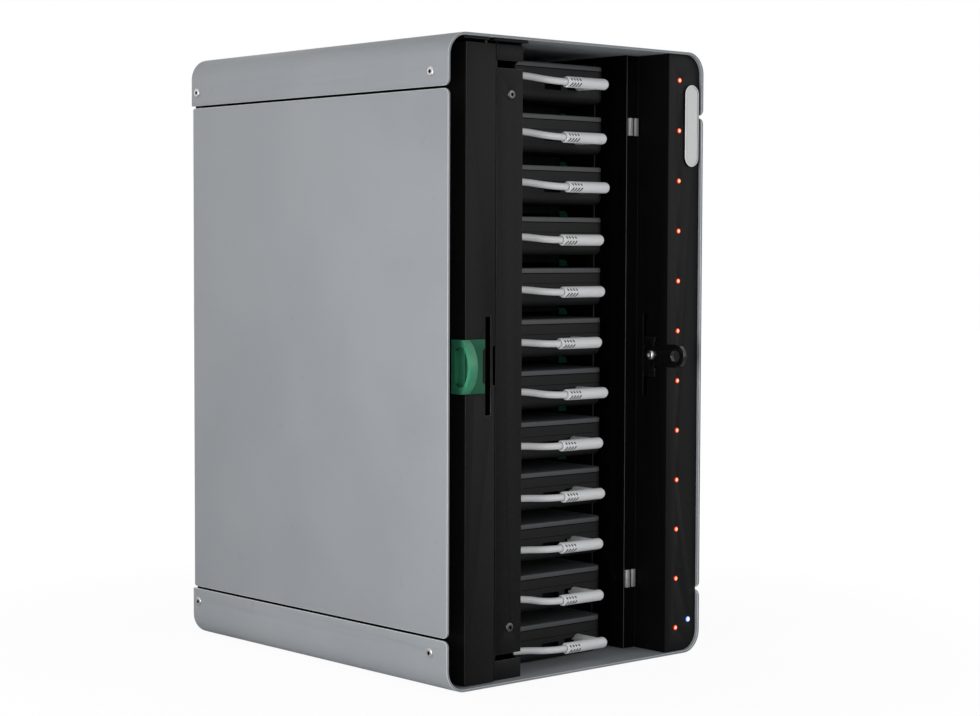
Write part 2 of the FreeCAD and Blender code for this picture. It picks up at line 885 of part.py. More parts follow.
lead_z = []
for n in range(BAYS):
    up = BAYS - 1 - n
    lead_z.append(f"{FLOOR} + {up} * bay_pitch + port_height + plug_lift_{n + 1:02d}")
lead_bores = [
    sided_bar(
        f"lead_bore_{n + 1:02d}",
        LEAD_SIDES,
        "x",
        "grommet_shank",
        "post_right - 2 * inner_sheet",
        "post_right + inner_sheet",
        "lead_line",
        f"{lead_z[n]} + lead_rise_{n + 1:02d}",
    )
    for n in range(BAYS)
]
cover_bores = [
    sided_bar(
        f"post_screw_bore_{level}",
        SIDES,
        "y",
        "cover_screw_shank",
        "post_face",
        f"{SHEET_IN} + 2 * inner_sheet",
        "cover_screw_x",
        f"cover_screw_{level}",
    )
    for level in ("low", "high")
]
post = without(
    "post_cut",
    post_solid,
    [
        round_slot("post_slot_high", "cover_high", "post_block_low"),
        round_slot("post_slot_low", "post_foot_top", "cover_low"),
    ]
    + lead_bores
    + cover_bores,
)
piece(post, "cable_post")

cover_plate = block(
    "cover_plate",
    ("post_left - cover_inset", "post_right"),
    ("post_face", SHEET_IN),
    ("cover_low", "cover_high"),
)
cover_holes = [
    sided_bar(
        f"cover_bore_{level}",
        SIDES,
        "y",
        "cover_screw_shank",
        "post_face - inner_sheet",
        f"{SHEET_IN} + inner_sheet",
        "cover_screw_x",
        f"cover_screw_{level}",
    )
    for level in ("low", "high")
]
piece(without("cover_cut", cover_plate, cover_holes), "cable_cover")

cover_screws = []
for level in ("low", "high"):
    head = sided_bar(
        f"cover_screw_{level}_head",
        SIDES,
        "y",
        "cover_screw_radius",
        "post_face - cover_screw_head",
        "post_face",
        "cover_screw_x",
        f"cover_screw_{level}",
    )
    socket = sided_bar(
        f"cover_screw_{level}_socket",
        6,
        "y",
        "screw_socket",
        "post_face - cover_screw_head",
        "post_face",
        "cover_screw_x",
        f"cover_screw_{level}",
    )
    stalk = sided_bar(
        f"cover_screw_{level}_shank",
        SIDES,
        "y",
        "cover_screw_shank",
        "post_face",
        "post_face + cover_screw_length",
        "cover_screw_x",
        f"cover_screw_{level}",
    )
    top = without(f"cover_screw_{level}_top", head, [socket])
    cover_screws.append(joined(f"cover_screw_{level}", [top, stalk]))
piece(apart("cover_screw_set", cover_screws), "cover_screws")

grommets = []
for n in range(BAYS):
    rise = f"{lead_z[n]} + lead_rise_{n + 1:02d}"
    grommets.append(
        joined(
            f"grommet_{n + 1:02d}",
            [
                sided_bar(
                    f"grommet_{n + 1:02d}_collar",
                    LEAD_SIDES,
                    "x",
                    "grommet_radius",
                    "post_right",
                    "post_right + grommet_thick",
                    "lead_line",
                    rise,
                ),
                sided_bar(
                    f"grommet_{n + 1:02d}_neck",
                    LEAD_SIDES,
                    "x",
                    "grommet_shank",
                    "post_right - inner_sheet",
                    "post_right",
                    "lead_line",
                    rise,
                ),
            ],
        )
    )
piece(apart("grommet_set", grommets), "lead_grommets")

# Right-hand wall: one bent sheet with the light column, the rebate and the bay's side.
wall = new_body("right_inner_wall")
section = new_sketch(wall, "wall_section", "XY_Plane", FLOOR)
outline(
    section,
    [
        ("rebate_wall", "column_face"),
        (INNER_RIGHT, "column_face"),
        (INNER_RIGHT, "column_face + inner_sheet"),
        ("rebate_wall + inner_sheet", "column_face + inner_sheet"),
        ("rebate_wall + inner_sheet", "rebate_back + inner_sheet"),
        ("wall_left + inner_sheet", "rebate_back + inner_sheet"),
        ("wall_left + inner_sheet", "wall_back"),
        ("wall_left", "wall_back"),
        ("wall_left", "rebate_back"),
        ("rebate_wall", "rebate_back"),
    ],
)
pad(wall, "wall_pad", section, f"({CEILING}) - ({FLOOR})")
right_x = value_of(INNER_RIGHT)
rounded(
    wall,
    "wall_corners",
    "corner_round - shell_sheet",
    lambda x0, x1, y0, y1, z0, z1: near(x0, right_x) and near(x1, right_x) and near(z0, z1),
)
lamp_hole = new_sketch(wall, "lamp_hole", "XZ_Plane", "-column_face")
facets(lamp_hole, SIDES, "led_x", "led_low", "led_bore")
lamp_cut = pocket(wall, "lamp_cut", lamp_hole, "inner_sheet", False)
row_of(wall, "lamp_rows", [lamp_cut], "Z_Axis", f"{BAYS - 1} * bay_pitch", BAYS)
power_hole = new_sketch(wall, "power_hole", "XZ_Plane", "-column_face")
facets(power_hole, SIDES, "power_led_x", "power_led_z", "power_led_radius")
pocket(wall, "power_cut", power_hole, "inner_sheet", False)
lock_slot = new_sketch(wall, "lock_slot", "YZ_Plane", "rebate_wall")
frame_of(
    lock_slot,
    ("wall_slot_y - wall_slot_width / 2", "wall_slot_y + wall_slot_width / 2"),
    ("wall_slot_low", "wall_slot_high"),
)
pocket(wall, "lock_slot_cut", lock_slot, "inner_sheet", True)
bolt_hole = new_sketch(wall, "bolt_hole", "YZ_Plane", "rebate_wall")
facets(bolt_hole, SIDES, "hasp_bolt_y", "hasp_mid", "hasp_bolt_shank")
pocket(wall, "bolt_cut", bolt_hole, "inner_sheet", True)
catch_holes = new_sketch(wall, "catch_holes", "YZ_Plane", "wall_left")
facets(catch_holes, SIDES, "wall_screw_y", "magnet_low", "wall_screw_shank")
facets(catch_holes, SIDES, "wall_screw_y", "magnet_high", "wall_screw_shank")
pocket(wall, "catch_cut", catch_holes, "inner_sheet", True)
piece(wall, "right_inner_wall")

# Status lights: one red light beside each bay and one light for the mains.
lamps = []
for n in range(BAYS):
    level = f"led_low + {n} * bay_pitch"
    lens = sided_bar(
        f"status_led_{n + 1:02d}_body",
        SIDES,
        "y",
        "led_radius",
        "column_face - led_proud",
        "led_board_front",
        "led_x",
        level,
    )
    lamps.append(lens)
piece(apart("status_led_set", lamps), "status_leds")
power_lamp = sided_bar(
    "power_lamp",
    SIDES,
    "y",
    "power_led_radius",
    "column_face - led_proud / 2",
    "led_board_front",
    "power_led_x",
    "power_led_z",
)
piece(power_lamp, "power_led")

strip = block(
    "led_strip",
    ("led_board_left", "led_board_right"),
    ("led_board_front", "led_board_front + led_board_sheet"),
    ("led_board_low", "led_board_high"),
)
spacers = [
    sided_bar(
        f"led_spacer_{n}",
        SIDES,
        "y",
        "spacer_radius",
        "column_face + inner_sheet",
        "led_board_front",
        "spacer_x",
        f"led_low + {n} * bay_pitch + bay_pitch / 2",
    )
    for n in (0, 5, 10)
]
piece(joined("led_board_body", [strip] + spacers), "led_board")

badge = new_body("badge_plate")
badge_face = new_sketch(badge, "badge_outline", "XZ_Plane", "-(column_face - badge_thick)")
frame_of(
    badge_face,
    ("badge_left", "badge_left + badge_width"),
    ("badge_low", "badge_low + badge_height"),
)
pad(badge, "badge_pad", badge_face, "badge_thick", True)
rounded(
    badge,
    "badge_ends",
    "badge_width / 2 - badge_ease",
    lambda x0, x1, y0, y1, z0, z1: near(x0, x1) and near(z0, z1),
)
piece(badge, "badge_plate")

# Hasp: a flat plate bolted to the rebate wall, with an eye for a padlock in front of the doorway.
hasp = new_body("hasp")
hasp_y = "hasp_eye_y + hasp_tab_half"
tab = new_sketch(hasp, "hasp_outline", "YZ_Plane", "rebate_wall - hasp_thick")
outline(
    tab,
    [
        ("0", "hasp_mid - hasp_tab_half"),
        (f"{hasp_y} + hasp_front", "hasp_mid - hasp_tab_half"),
        (f"{hasp_y} + hasp_front", "hasp_mid - hasp_base_drop - hasp_base_half"),
        (f"{hasp_y} + hasp_back", "hasp_mid - hasp_base_drop - hasp_base_half"),
        (f"{hasp_y} + hasp_back", "hasp_mid - hasp_base_drop + hasp_base_half"),
        (f"{hasp_y} + hasp_front", "hasp_mid - hasp_base_drop + hasp_base_half"),
        (f"{hasp_y} + hasp_front", "hasp_mid + hasp_tab_half"),
        ("0", "hasp_mid + hasp_tab_half"),
    ],
)
pad(hasp, "hasp_pad", tab, "hasp_thick")
rounded(
    hasp,
    "hasp_nose",
    "hasp_tab_half - hasp_nose_ease",
    lambda x0, x1, y0, y1, z0, z1: near(y0, 0) and near(y1, 0) and near(z0, z1),
)
hasp_end = value_of(f"{hasp_y} + hasp_back")
rounded(
    hasp,
    "hasp_base_corners",
    "hasp_base_round",
    lambda x0, x1, y0, y1, z0, z1: near(y0, hasp_end) and near(y1, hasp_end) and near(z0, z1),
)
eye = new_sketch(hasp, "hasp_eye", "YZ_Plane", "rebate_wall - hasp_thick")
ring(eye, "hasp_tab_half", "hasp_mid", "hasp_eye_radius")
facets(eye, SIDES, f"{hasp_y} + hasp_bolt_y", "hasp_mid", "hasp_bolt_shank")
pocket(hasp, "hasp_eye_cut", eye, "hasp_thick", True)
notch = new_sketch(hasp, "hasp_notch", "YZ_Plane", "rebate_wall - hasp_thick")
facets(notch, SIDES, f"{hasp_y} + hasp_front", "hasp_mid + hasp_tab_half", "hasp_notch_radius")
facets(notch, SIDES, f"{hasp_y} + hasp_front", "hasp_mid - hasp_tab_half", "hasp_notch_radius")
pocket(hasp, "hasp_notch_cut", notch, "hasp_thick", True)
piece(hasp, "hasp", f"-({hasp_y})")

HASP_FACE = "rebate_wall - hasp_thick"
bolt_head = without(
    "hasp_bolt_head_cut",
    sided_bar(
        "hasp_bolt_head_bar",
        SIDES,
        "x",
        "hasp_bolt_radius",
        f"{HASP_FACE} - hasp_bolt_head",
        HASP_FACE,
        "hasp_bolt_y",
        "hasp_mid",
    ),
    [
        sided_bar(
            "hasp_bolt_socket_bar",
            6,
            "x",
            "hasp_bolt_socket",
            f"{HASP_FACE} - hasp_bolt_head",
            HASP_FACE,
            "hasp_bolt_y",
            "hasp_mid",
        )
    ],
)
bolt = joined(
    "hasp_bolt_body",
    [
        bolt_head,
        sided_bar(
            "hasp_bolt_shank_bar",
            SIDES,
            "x",
            "hasp_bolt_shank",
            HASP_FACE,
            "rebate_wall + inner_sheet + hasp_nut_height",
            "hasp_bolt_y",
            "hasp_mid",
        ),
        sided_bar(
            "hasp_bolt_nut_bar",
            6,
            "x",
            "hasp_nut_radius",
            "rebate_wall + inner_sheet",
            "rebate_wall + inner_sheet + hasp_nut_height",
            "hasp_bolt_y",
            "hasp_mid",
        ),
    ],
)
piece(bolt, "hasp_bolt")

# Magnet catches: a dark body between two bright pole plates, on the rebate's step.
catches = []
poles = []
for level in ("low", "high"):
    middle = f"magnet_{level}"
    span = (f"{middle} - magnet_half", f"{middle} + magnet_half")
    front = "rebate_back - magnet_depth"
    catches.append(
        block(
            f"magnet_core_{level}",
            ("magnet_left + magnet_pole", "magnet_left + magnet_width - magnet_pole"),
            (f"{front} + magnet_recess", "rebate_back"),
            span,
        )
    )
    poles.append(
        block(
            f"magnet_pole_left_{level}",
            ("magnet_left", "magnet_left + magnet_pole"),
            (front, "rebate_back"),
            span,
        )
    )
    poles.append(
        block(
            f"magnet_pole_right_{level}",
            ("magnet_left + magnet_width - magnet_pole", "magnet_left + magnet_width"),
            (front, "rebate_back"),
            span,
        )
    )
piece(apart("magnet_core_set", catches), "magnet_cores")
piece(apart("magnet_pole_set", poles), "magnet_poles")
wall_screws = []
for level in ("low", "high"):
    head = sided_bar(
        f"wall_screw_{level}_head",
        SIDES,
        "x",
        "wall_screw_radius",
        "wall_left - wall_screw_head",
        "wall_left",
        "wall_screw_y",
        f"magnet_{level}",
    )
    stalk = sided_bar(
        f"wall_screw_{level}_shank",
        SIDES,
        "x",
        "wall_screw_shank",
        "wall_left",
        "wall_left + wall_screw_length",
        "wall_screw_y",
        f"magnet_{level}",
    )
    wall_screws.append(joined(f"wall_screw_{level}", [head, stalk]))
piece(apart("wall_screw_set", wall_screws), "wall_screws")

# Door tracks: a slotted plate under the ceiling and another on the floor of the pocket.
SLOT_LEFT = "hinge_x - bushing_radius - slot_play"
SLOT_RIGHT = "hinge_x + bushing_radius + slot_play"
SLOT_END = "hinge_y + bushing_radius + slot_end_play"
SLOT_START = "hinge_y - door_travel - bushing_radius - slot_end_play"
track_top = without(
    "track_top_cut",
    block(
        "track_top_plate",
        ("track_top_left", "post_right"),
        ("track_front", "wall_back"),
        (TRACK, CEILING),
    ),
    [
        block(
            "track_top_slot",
            (SLOT_LEFT, SLOT_RIGHT),
            ("0", SLOT_END),
            (f"{TRACK} - inner_sheet", f"{CEILING} + inner_sheet"),
        )
    ],
)
piece(track_top, "door_track_top")
track_low = without(
    "track_low_cut",
    block(
        "track_low_plate",
        ("track_low_left", "track_low_right"),
        ("track_low_front", "track_low_back"),
        (FLOOR, f"{FLOOR} + track_sheet"),
    ),
    [
        block(
            "track_low_opening",
            (SLOT_LEFT, SLOT_RIGHT),
            (SLOT_START, SLOT_END),
            ("0", f"{FLOOR} + 2 * track_sheet"),
        )
    ],
)
piece(track_low, "door_track_bottom")

# Sliding door: the leaf, the deep box on its free edge, the return at its rear edge
# and three knuckles round the hinge rod.
PULL_PLATE = "door_face - pull_plate"
PULL_MID = "(pull_low + pull_high) / 2"


def screw_bores(stem):
    """Bores for the pull's two screws, through the door's face and into the pull."""
    return [
        sided_bar(
            f"{stem}_screw_bore_{level}",
            SIDES,
            "y",
            "pull_screw_radius",
            f"{PULL_PLATE} + pull_skin",
            "door_face + 2 * inner_sheet",
            "pull_screw_x",
            f"{PULL_MID} {sign} pull_screw_rise",
        )
        for level, sign in (("low", "-"), ("high", "+"))
    ]


BOX_BACK = "door_face + door_box_depth"
LEAF_BACK = "door_face + door_length"
LEAF_IN = "door_left + inner_sheet"
door_solid = joined(
    "door_solid",
    [
        block("door_leaf", ("door_left", LEAF_IN), ("door_face", LEAF_BACK), ("door_low", "door_high")),
        block(
            "door_box_face",
            ("door_left", "door_right"),
            ("door_face", "door_face + inner_sheet"),
            ("door_low", "door_high"),
        ),
        block(
            "door_box_side",
            ("door_right - inner_sheet", "door_right"),
            ("door_face", BOX_BACK),
            ("door_wall_low", "door_high"),
        ),
        block(
            "door_box_back",
            (LEAF_IN, "door_right"),
            (f"{BOX_BACK} - inner_sheet", BOX_BACK),
            ("door_wall_low", "door_high"),
        ),
        block(
            "door_box_top",
            ("door_left", "door_right"),
            ("door_face", BOX_BACK),
            ("door_high - inner_sheet", "door_high"),
        ),
        block(
            "door_return",
            (LEAF_IN, "hinge_x"),
            (f"{LEAF_BACK} - inner_sheet", LEAF_BACK),
            ("door_wall_low", "door_high"),
        ),
    ]
    + [
        sided_bar(
            f"door_knuckle_{n}",
            SIDES,
            "z",
            "knuckle_radius",
            f"knuckle_low + {n} * knuckle_pitch",
            f"knuckle_low + {n} * knuckle_pitch + knuckle_height",
            "hinge_x",
            "hinge_y",
        )
        for n in range(3)
    ],
)
door = without(
    "door_cut",
    door_solid,
    [
        block(
            "door_slot",
            ("door_slot_left", "door_slot_left + door_slot_width"),
            ("door_face - inner_sheet", "door_face + 2 * inner_sheet"),
            ("door_slot_low", "door_slot_high"),
        ),
        block(
            "door_notch",
            ("door_right - door_notch_depth", "door_right + inner_sheet"),
            ("door_face - inner_sheet", "door_face + 2 * inner_sheet"),
            ("door_notch_low", "door_notch_high"),
        ),
        round_bar(
            "door_hinge_bore",
            "z",
            "hinge_rod_radius + knuckle_play",
            "0",
            "shell_height",
            "hinge_x",
            "hinge_y",
        ),
    ]
    + screw_bores("door"),
)
piece(door, "door_panel")
rod = round_bar(
    "hinge_rod_bar",
    "z",
    "hinge_rod_radius",
    f"{FLOOR} + bushing_lift",
    f"{CEILING} - bushing_lift",
    "hinge_x",
    "hinge_y",
)
piece(rod, "door_hinge_rod")
PIN_TOP = f"{CEILING} - bushing_lift"
bushings = []
for level, low in (("low", f"{FLOOR} + bushing_lift"), ("high", f"{TRACK} + bushing_lift / 2")):
    ring_out = sided_bar(
        f"bushing_{level}_out",
        SIDES,
        "z",
        "bushing_radius",
        low,
        f"{low} + bushing_height",
        "hinge_x",
        "hinge_y",
    )
    ring_in = sided_bar(
        f"bushing_{level}_in",
        SIDES,
        "z",
        "bushing_bore",
        low,
        f"{low} + bushing_height",
        "hinge_x",
        "hinge_y",
    )
    bushings.append(without(f"bushing_{level}", ring_out, [ring_in]))
piece(apart("bushing_set", bushings), "rod_bushings")
pin = joined(
    "guide_pin",
    [
        sided_bar("guide_pin_bar", SIDES, "z", "pin_radius", "door_high", PIN_TOP, "hinge_x", "pin_y"),
        sided_bar(
            "guide_pin_roller",
            SIDES,
            "z",
            "bushing_radius",
            f"{PIN_TOP} - bushing_height",
            PIN_TOP,
            "hinge_x",
            "pin_y",
        ),
    ],
)
piece(pin, "door_guide_pin")

# Green pull: a loop that bulges forward of the door's edge and has a finger hole, a waisted plate
# on the edge's face with a sunk middle, and a side plate round the corner.
PULL_AXIS = "pull_round - pull_front"
loop = shared(
    "pull_loop",
    block(
        "pull_loop_block",
        ("pull_left", "pull_left + pull_band"),
        ("-pull_front", "pull_back"),
        ("pull_low", "pull_high"),
    ),
    round_bar(
        "pull_loop_round",
        "x",
        "pull_round",
        "pull_left - pull_wall",
        "pull_left + pull_band + pull_wall",
        PULL_AXIS,
        PULL_MID,
    ),
)
plate = new_body("pull_front_plate")
waisted = new_sketch(plate, "pull_plate_outline", "XZ_Plane", f"-({PULL_PLATE})")
outline(
    waisted,
    [
        ("door_left", "pull_low"),
        ("pull_plate_right", "pull_low"),
        ("pull_plate_right", "pull_waist_low - pull_waist_ease"),
        ("pull_waist_right", "pull_waist_low"),
        ("pull_waist_right", "pull_waist_high"),
        ("pull_plate_right", "pull_waist_high + pull_waist_ease"),
        ("pull_plate_right", "pull_high"),
        ("door_left", "pull_high"),
    ],
)
pad(plate, "pull_plate_pad", waisted, "pull_plate", True)
sunk = new_sketch(plate, "pull_recess_outline", "XZ_Plane", f"-({PULL_PLATE})")
frame_of(
    sunk,
    ("pull_left + pull_band", "pull_waist_right + pull_waist_ease"),
    ("pull_waist_low", "pull_waist_high"),
)
pocket(plate, "pull_recess_cut", sunk, "pull_recess", False)
side_plate = block(
    "pull_side_sheet",
    ("door_left - pull_side_plate", "door_left"),
    (PULL_PLATE, "pull_back"),
    ("pull_low", "pull_high"),
)
finger_hole = new_body("pull_finger_hole")
hole_side = new_sketch(finger_hole, "pull_hole_outline", "YZ_Plane", "pull_left - pull_wall")
frame_of(hole_side, ("-pull_front", "pull_hole_back"), ("pull_hole_low", "pull_hole_high"))
pad(finger_hole, "pull_hole_pad", hole_side, "door_left - pull_side_plate - pull_left + pull_wall")
hole_end = value_of("pull_hole_back")
rounded(
    finger_hole,
    "pull_hole_corners",
    "pull_hole_round",
    lambda x0, x1, y0, y1, z0, z1: near(y0, hole_end) and near(y1, hole_end) and near(z0, z1),
)
finger_gap = shared(
    "pull_gap",
    joined(
        "pull_gap_space",
        [
            finger_hole,
            block(
                "pull_gap_right",
                ("pull_left - pull_wall", "pull_left + pull_band + pull_wall"),
                ("-pull_front", PULL_PLATE),
                ("pull_hole_low", "pull_hole_high"),
            ),
        ],
    ),
    round_bar(
        "pull_gap_round",
        "x",
        "pull_round - pull_wall",
        "pull_left - 2 * pull_wall",
        "pull_left + pull_band + 2 * pull_wall",
        PULL_AXIS,
        PULL_MID,
    ),
)
door_space = block(
    "pull_door_space",
    ("door_left", "door_right"),
    ("door_face", "pull_back + pull_wall"),
    ("pull_low - pull_wall", "pull_high + pull_wall"),
)
loop_only = without("pull_loop_open", loop, [finger_gap])
pull = without(
    "pull_cut",
    joined("pull_solid", [loop_only, plate, side_plate]),
    [door_space] + screw_bores("pull"),
)
piece(pull, "door_handle")
pull_screws = []
for level, sign in (("low", "-"), ("high", "+")):
    height = f"{PULL_MID} {sign} pull_screw_rise"
    head = sided_bar(
        f"pull_screw_{level}_head",
        SIDES,
        "y",
        "pull_screw_head",
        "door_face + inner_sheet",
        "door_face + inner_sheet + pull_screw_radius",
        "pull_screw_x",
        height,
    )
    stalk = sided_bar(
        f"pull_screw_{level}_shank",
        SIDES,
        "y",
        "pull_screw_radius",
        f"{PULL_PLATE} + pull_skin",
        "door_face + inner_sheet",
        "pull_screw_x",
        height,
    )
    pull_screws.append(joined(f"pull_screw_{level}", [head, stalk]))
piece(apart("pull_screw_set", pull_screws), "handle_screws")

# Racks and shelves: a slotted side plate on each wall of the bays, and a shelf under each device
# but the lowest, with a green bumper at its front right corner.
RACK_RIGHT = "wall_left - rack_sheet"
RACK_LEFT = "post_left + inner_sheet + rack_sheet"
rack_left = block(
    "rack_left_plate",
    ("post_left + inner_sheet", RACK_LEFT),
    ("rack_front", "rack_back"),
    ("rack_low", "rack_high"),
)
rack_right = block(
    "rack_right_plate",
    (RACK_RIGHT, "wall_left"),
    ("rack_front", "rack_back"),
    ("rack_low", "rack_high"),
)
piece(apart("rack_pair", [rack_left, rack_right]), "racks")
shelves = []
bumpers = []
for n in range(BAYS - 1):
    up = BAYS - 1 - n
    top = f"{FLOOR} + {up} * bay_pitch"
    number = f"{n + 1:02d}"
    sheet = block(
        f"shelf_sheet_{number}",
        (RACK_LEFT, RACK_RIGHT),
        ("shelf_front", "rack_back"),
        (f"{top} - shelf_rib", top),
    )
    lip = block(
        f"shelf_lip_{number}",
        (RACK_LEFT, RACK_RIGHT),
        ("shelf_front", "shelf_front + shelf_rib"),
        (f"{top} - shelf_thick", top),
    )
    corner = block(
        f"shelf_corner_{number}",
        (f"{RACK_RIGHT} - shelf_notch", f"{RACK_RIGHT} + shelf_rib"),
        ("shelf_front - shelf_rib", "shelf_front + shelf_notch"),
        (f"{top} - 2 * shelf_thick", f"{top} + shelf_rib"),
    )
    shelves.append(without(f"shelf_{number}", joined(f"shelf_solid_{number}", [sheet, lip]), [corner]))
    tongue = block(
        f"bumper_block_{number}",
        (f"{RACK_RIGHT} - shelf_notch", f"{RACK_RIGHT} - shelf_notch + bumper_width"),
        ("shelf_front", "shelf_front + shelf_notch"),
        (f"{top} - bumper_low", f"{top} - bumper_high + shelf_rib"),
    )
    nose = joined(
        f"bumper_form_{number}",
        [
            block(
                f"bumper_left_{number}",
                (
                    f"{RACK_RIGHT} - shelf_notch",
                    f"{RACK_RIGHT} - shelf_notch + bumper_width - bumper_round",
                ),
                ("shelf_front - shelf_rib", "shelf_front + 2 * shelf_notch"),
                (f"{top} - bumper_low", f"{top} - bumper_high"),
            ),
            block(
                f"bumper_base_{number}",
                (f"{RACK_RIGHT} - shelf_notch", f"{RACK_RIGHT} - shelf_notch + bumper_width"),
                ("shelf_front - shelf_rib", "shelf_front + 2 * shelf_notch"),
                (f"{top} - bumper_low", f"{top} - bumper_high - bumper_round"),
            ),
            sided_bar(
                f"bumper_round_{number}",
                SIDES,
                "y",
                "bumper_round",
                "shelf_front - shelf_rib",
                "shelf_front + 2 * shelf_notch",
                f"{RACK_RIGHT} - shelf_notch + bumper_width - bumper_round",
                f"{top} - bumper_high - bumper_round",
            ),
        ],
    )
    bumpers.append(shared(f"bumper_{number}", tongue, nose))
piece(apart("shelf_set", shelves), "shelves")
piece(apart("bumper_set", bumpers), "shelf_bumpers")


# The share of its radius that a rounded corner's middle lies in from each side.
CORNER_SHARE = 0.2929

# Docked devices: closed, rugged, with a lid, a seam, a charge port and a wide side port.


def rounded_plan():
    """The device's outline from above, each rounded corner drawn as two straight steps."""
    points = []
    for side_x, side_y in ((1, -1), (1, 1), (-1, 1), (-1, -1)):
        edge_x = "device_right" if side_x > 0 else "device_left"
        edge_y = "device_back" if side_y > 0 else "device_front"
        into_x = "-" if side_x > 0 else "+"
        into_y = "-" if side_y > 0 else "+"
        steps = (
            (f"{edge_x} {into_x} device_corner", edge_y),
            (
                f"{edge_x} {into_x} device_corner * {CORNER_SHARE}",
                f"{edge_y} {into_y} device_corner * {CORNER_SHARE}",
            ),
            (edge_x, f"{edge_y} {into_y} device_corner"),
        )
        points += steps if side_x * side_y < 0 else steps[::-1]
    return points


def device(number, base):
    label = f"device_{number}"
    body = new_body(label)
    top = f"{base} + device_height"
    plan = new_sketch(body, label + "_plan", "XY_Plane", base)
    outline(plan, rounded_plan())
    pad(body, label + "_pad", plan, "device_height")
    base_z = value_of(base)
    doc.recompute()
    slab = body.Tip
    below = edges_where(
        slab.Shape,
        lambda x0, x1, y0, y1, z0, z1: near(z0, base_z) and near(z1, base_z),
    )
    edge = body.newObject("PartDesign::Chamfer", label + "_underside")
    edge.Base = (slab, below)
    bind(edge, "Size", "device_underside")
    doc.recompute()
    ports = new_sketch(body, label + "_ports", "XZ_Plane", "-device_front")
    frame_of(
        ports,
        ("port_centre - port_half_width", "port_centre + port_half_width"),
        (
            f"{base} + port_height - port_half_height",
            f"{base} + port_height + port_half_height",
        ),
    )
    frame_of(
        ports,
        ("side_port_left", "side_port_right"),
        (
            f"{base} + port_height + side_port_rise - side_port_half",
            f"{base} + port_height + side_port_rise + side_port_half",
        ),
    )
    pocket(body, label + "_port_cut", ports, "port_depth", False)
    seam = new_sketch(body, label + "_seam", "YZ_Plane", "device_left")
    frame_of(
        seam,
        ("device_front", "device_front + device_seam"),
        (f"{top} - device_lid - device_seam", f"{top} - device_lid"),
    )
    pocket(body, label + "_seam_cut", seam, "device_right - device_left", True)
    piece(body, label)


for n in range(BAYS):
    up = BAYS - 1 - n
    device(f"{n + 1:02d}", f"{FLOOR} + {up} * bay_pitch")

# Charge leads: each leaves a grommet in the post's side and ends in an angled plug,
# whose stub turns back into the device's port.


# The share of the shorter run that an arc takes up on each side of its corner.
REACH_SHARE = 0.45


def rounded_path(points):
    """Straight runs joined by tangent arcs, each arc as large as its two runs allow."""
    edges = []
    radii = []
    start = points[0]
    for n in range(1, len(points) - 1):
        into = points[n] - points[n - 1]
        out = points[n + 1] - points[n]
        half = into.getAngle(out) / 2
        reach = REACH_SHARE * min(into.Length, out.Length)
        radii.append(reach / math.tan(half))
        first = points[n] - into.normalize() * reach
        last = points[n] + out.normalize() * reach
        inward = (last - points[n]).normalize() + (first - points[n]).normalize()
        centre_gap = radii[-1] / math.cos(half)
        middle = points[n] + inward.normalize() * (centre_gap - radii[-1])
        edges.append(Part.LineSegment(start, first).toShape())
        edges.append(Part.Arc(first, middle, last).toShape())
        start = last
    edges.append(Part.LineSegment(start, points[-1]).toShape())
    return Part.Wire(edges), radii


# Shares of the way along and across that a lead has gone at each point of its route.
ALONG_SHARES = (0.0, 0.28, 0.72, 1.0)
ACROSS_SHARES = (0.0, 0.0, 1.0, 1.0)


def lead_route(n):
    number = f"{n + 1:02d}"
    level = value_of(lead_z[n])
    rise = value_of(f"lead_rise_{number}")
    start = value_of("post_right + grommet_thick")
    end = value_of(f"plug_right + plug_shift_{number} - plug_length")
    near_y = value_of("lead_line")
    far_y = value_of("plug_line")
    points = []
    for along, across in zip(ALONG_SHARES, ACROSS_SHARES):
        x = start + along * (end - start)
        y = near_y + across * (far_y - near_y)
        points.append(FreeCAD.Vector(x, y, level + rise * (1 - across)))
    return points


# Shares of the plug's radius that shape its rounded nose.
NOSE_SHARE = 0.3
NOSE_WIDE_SHARE = 0.77
NOSE_TIP_SHARE = 0.35

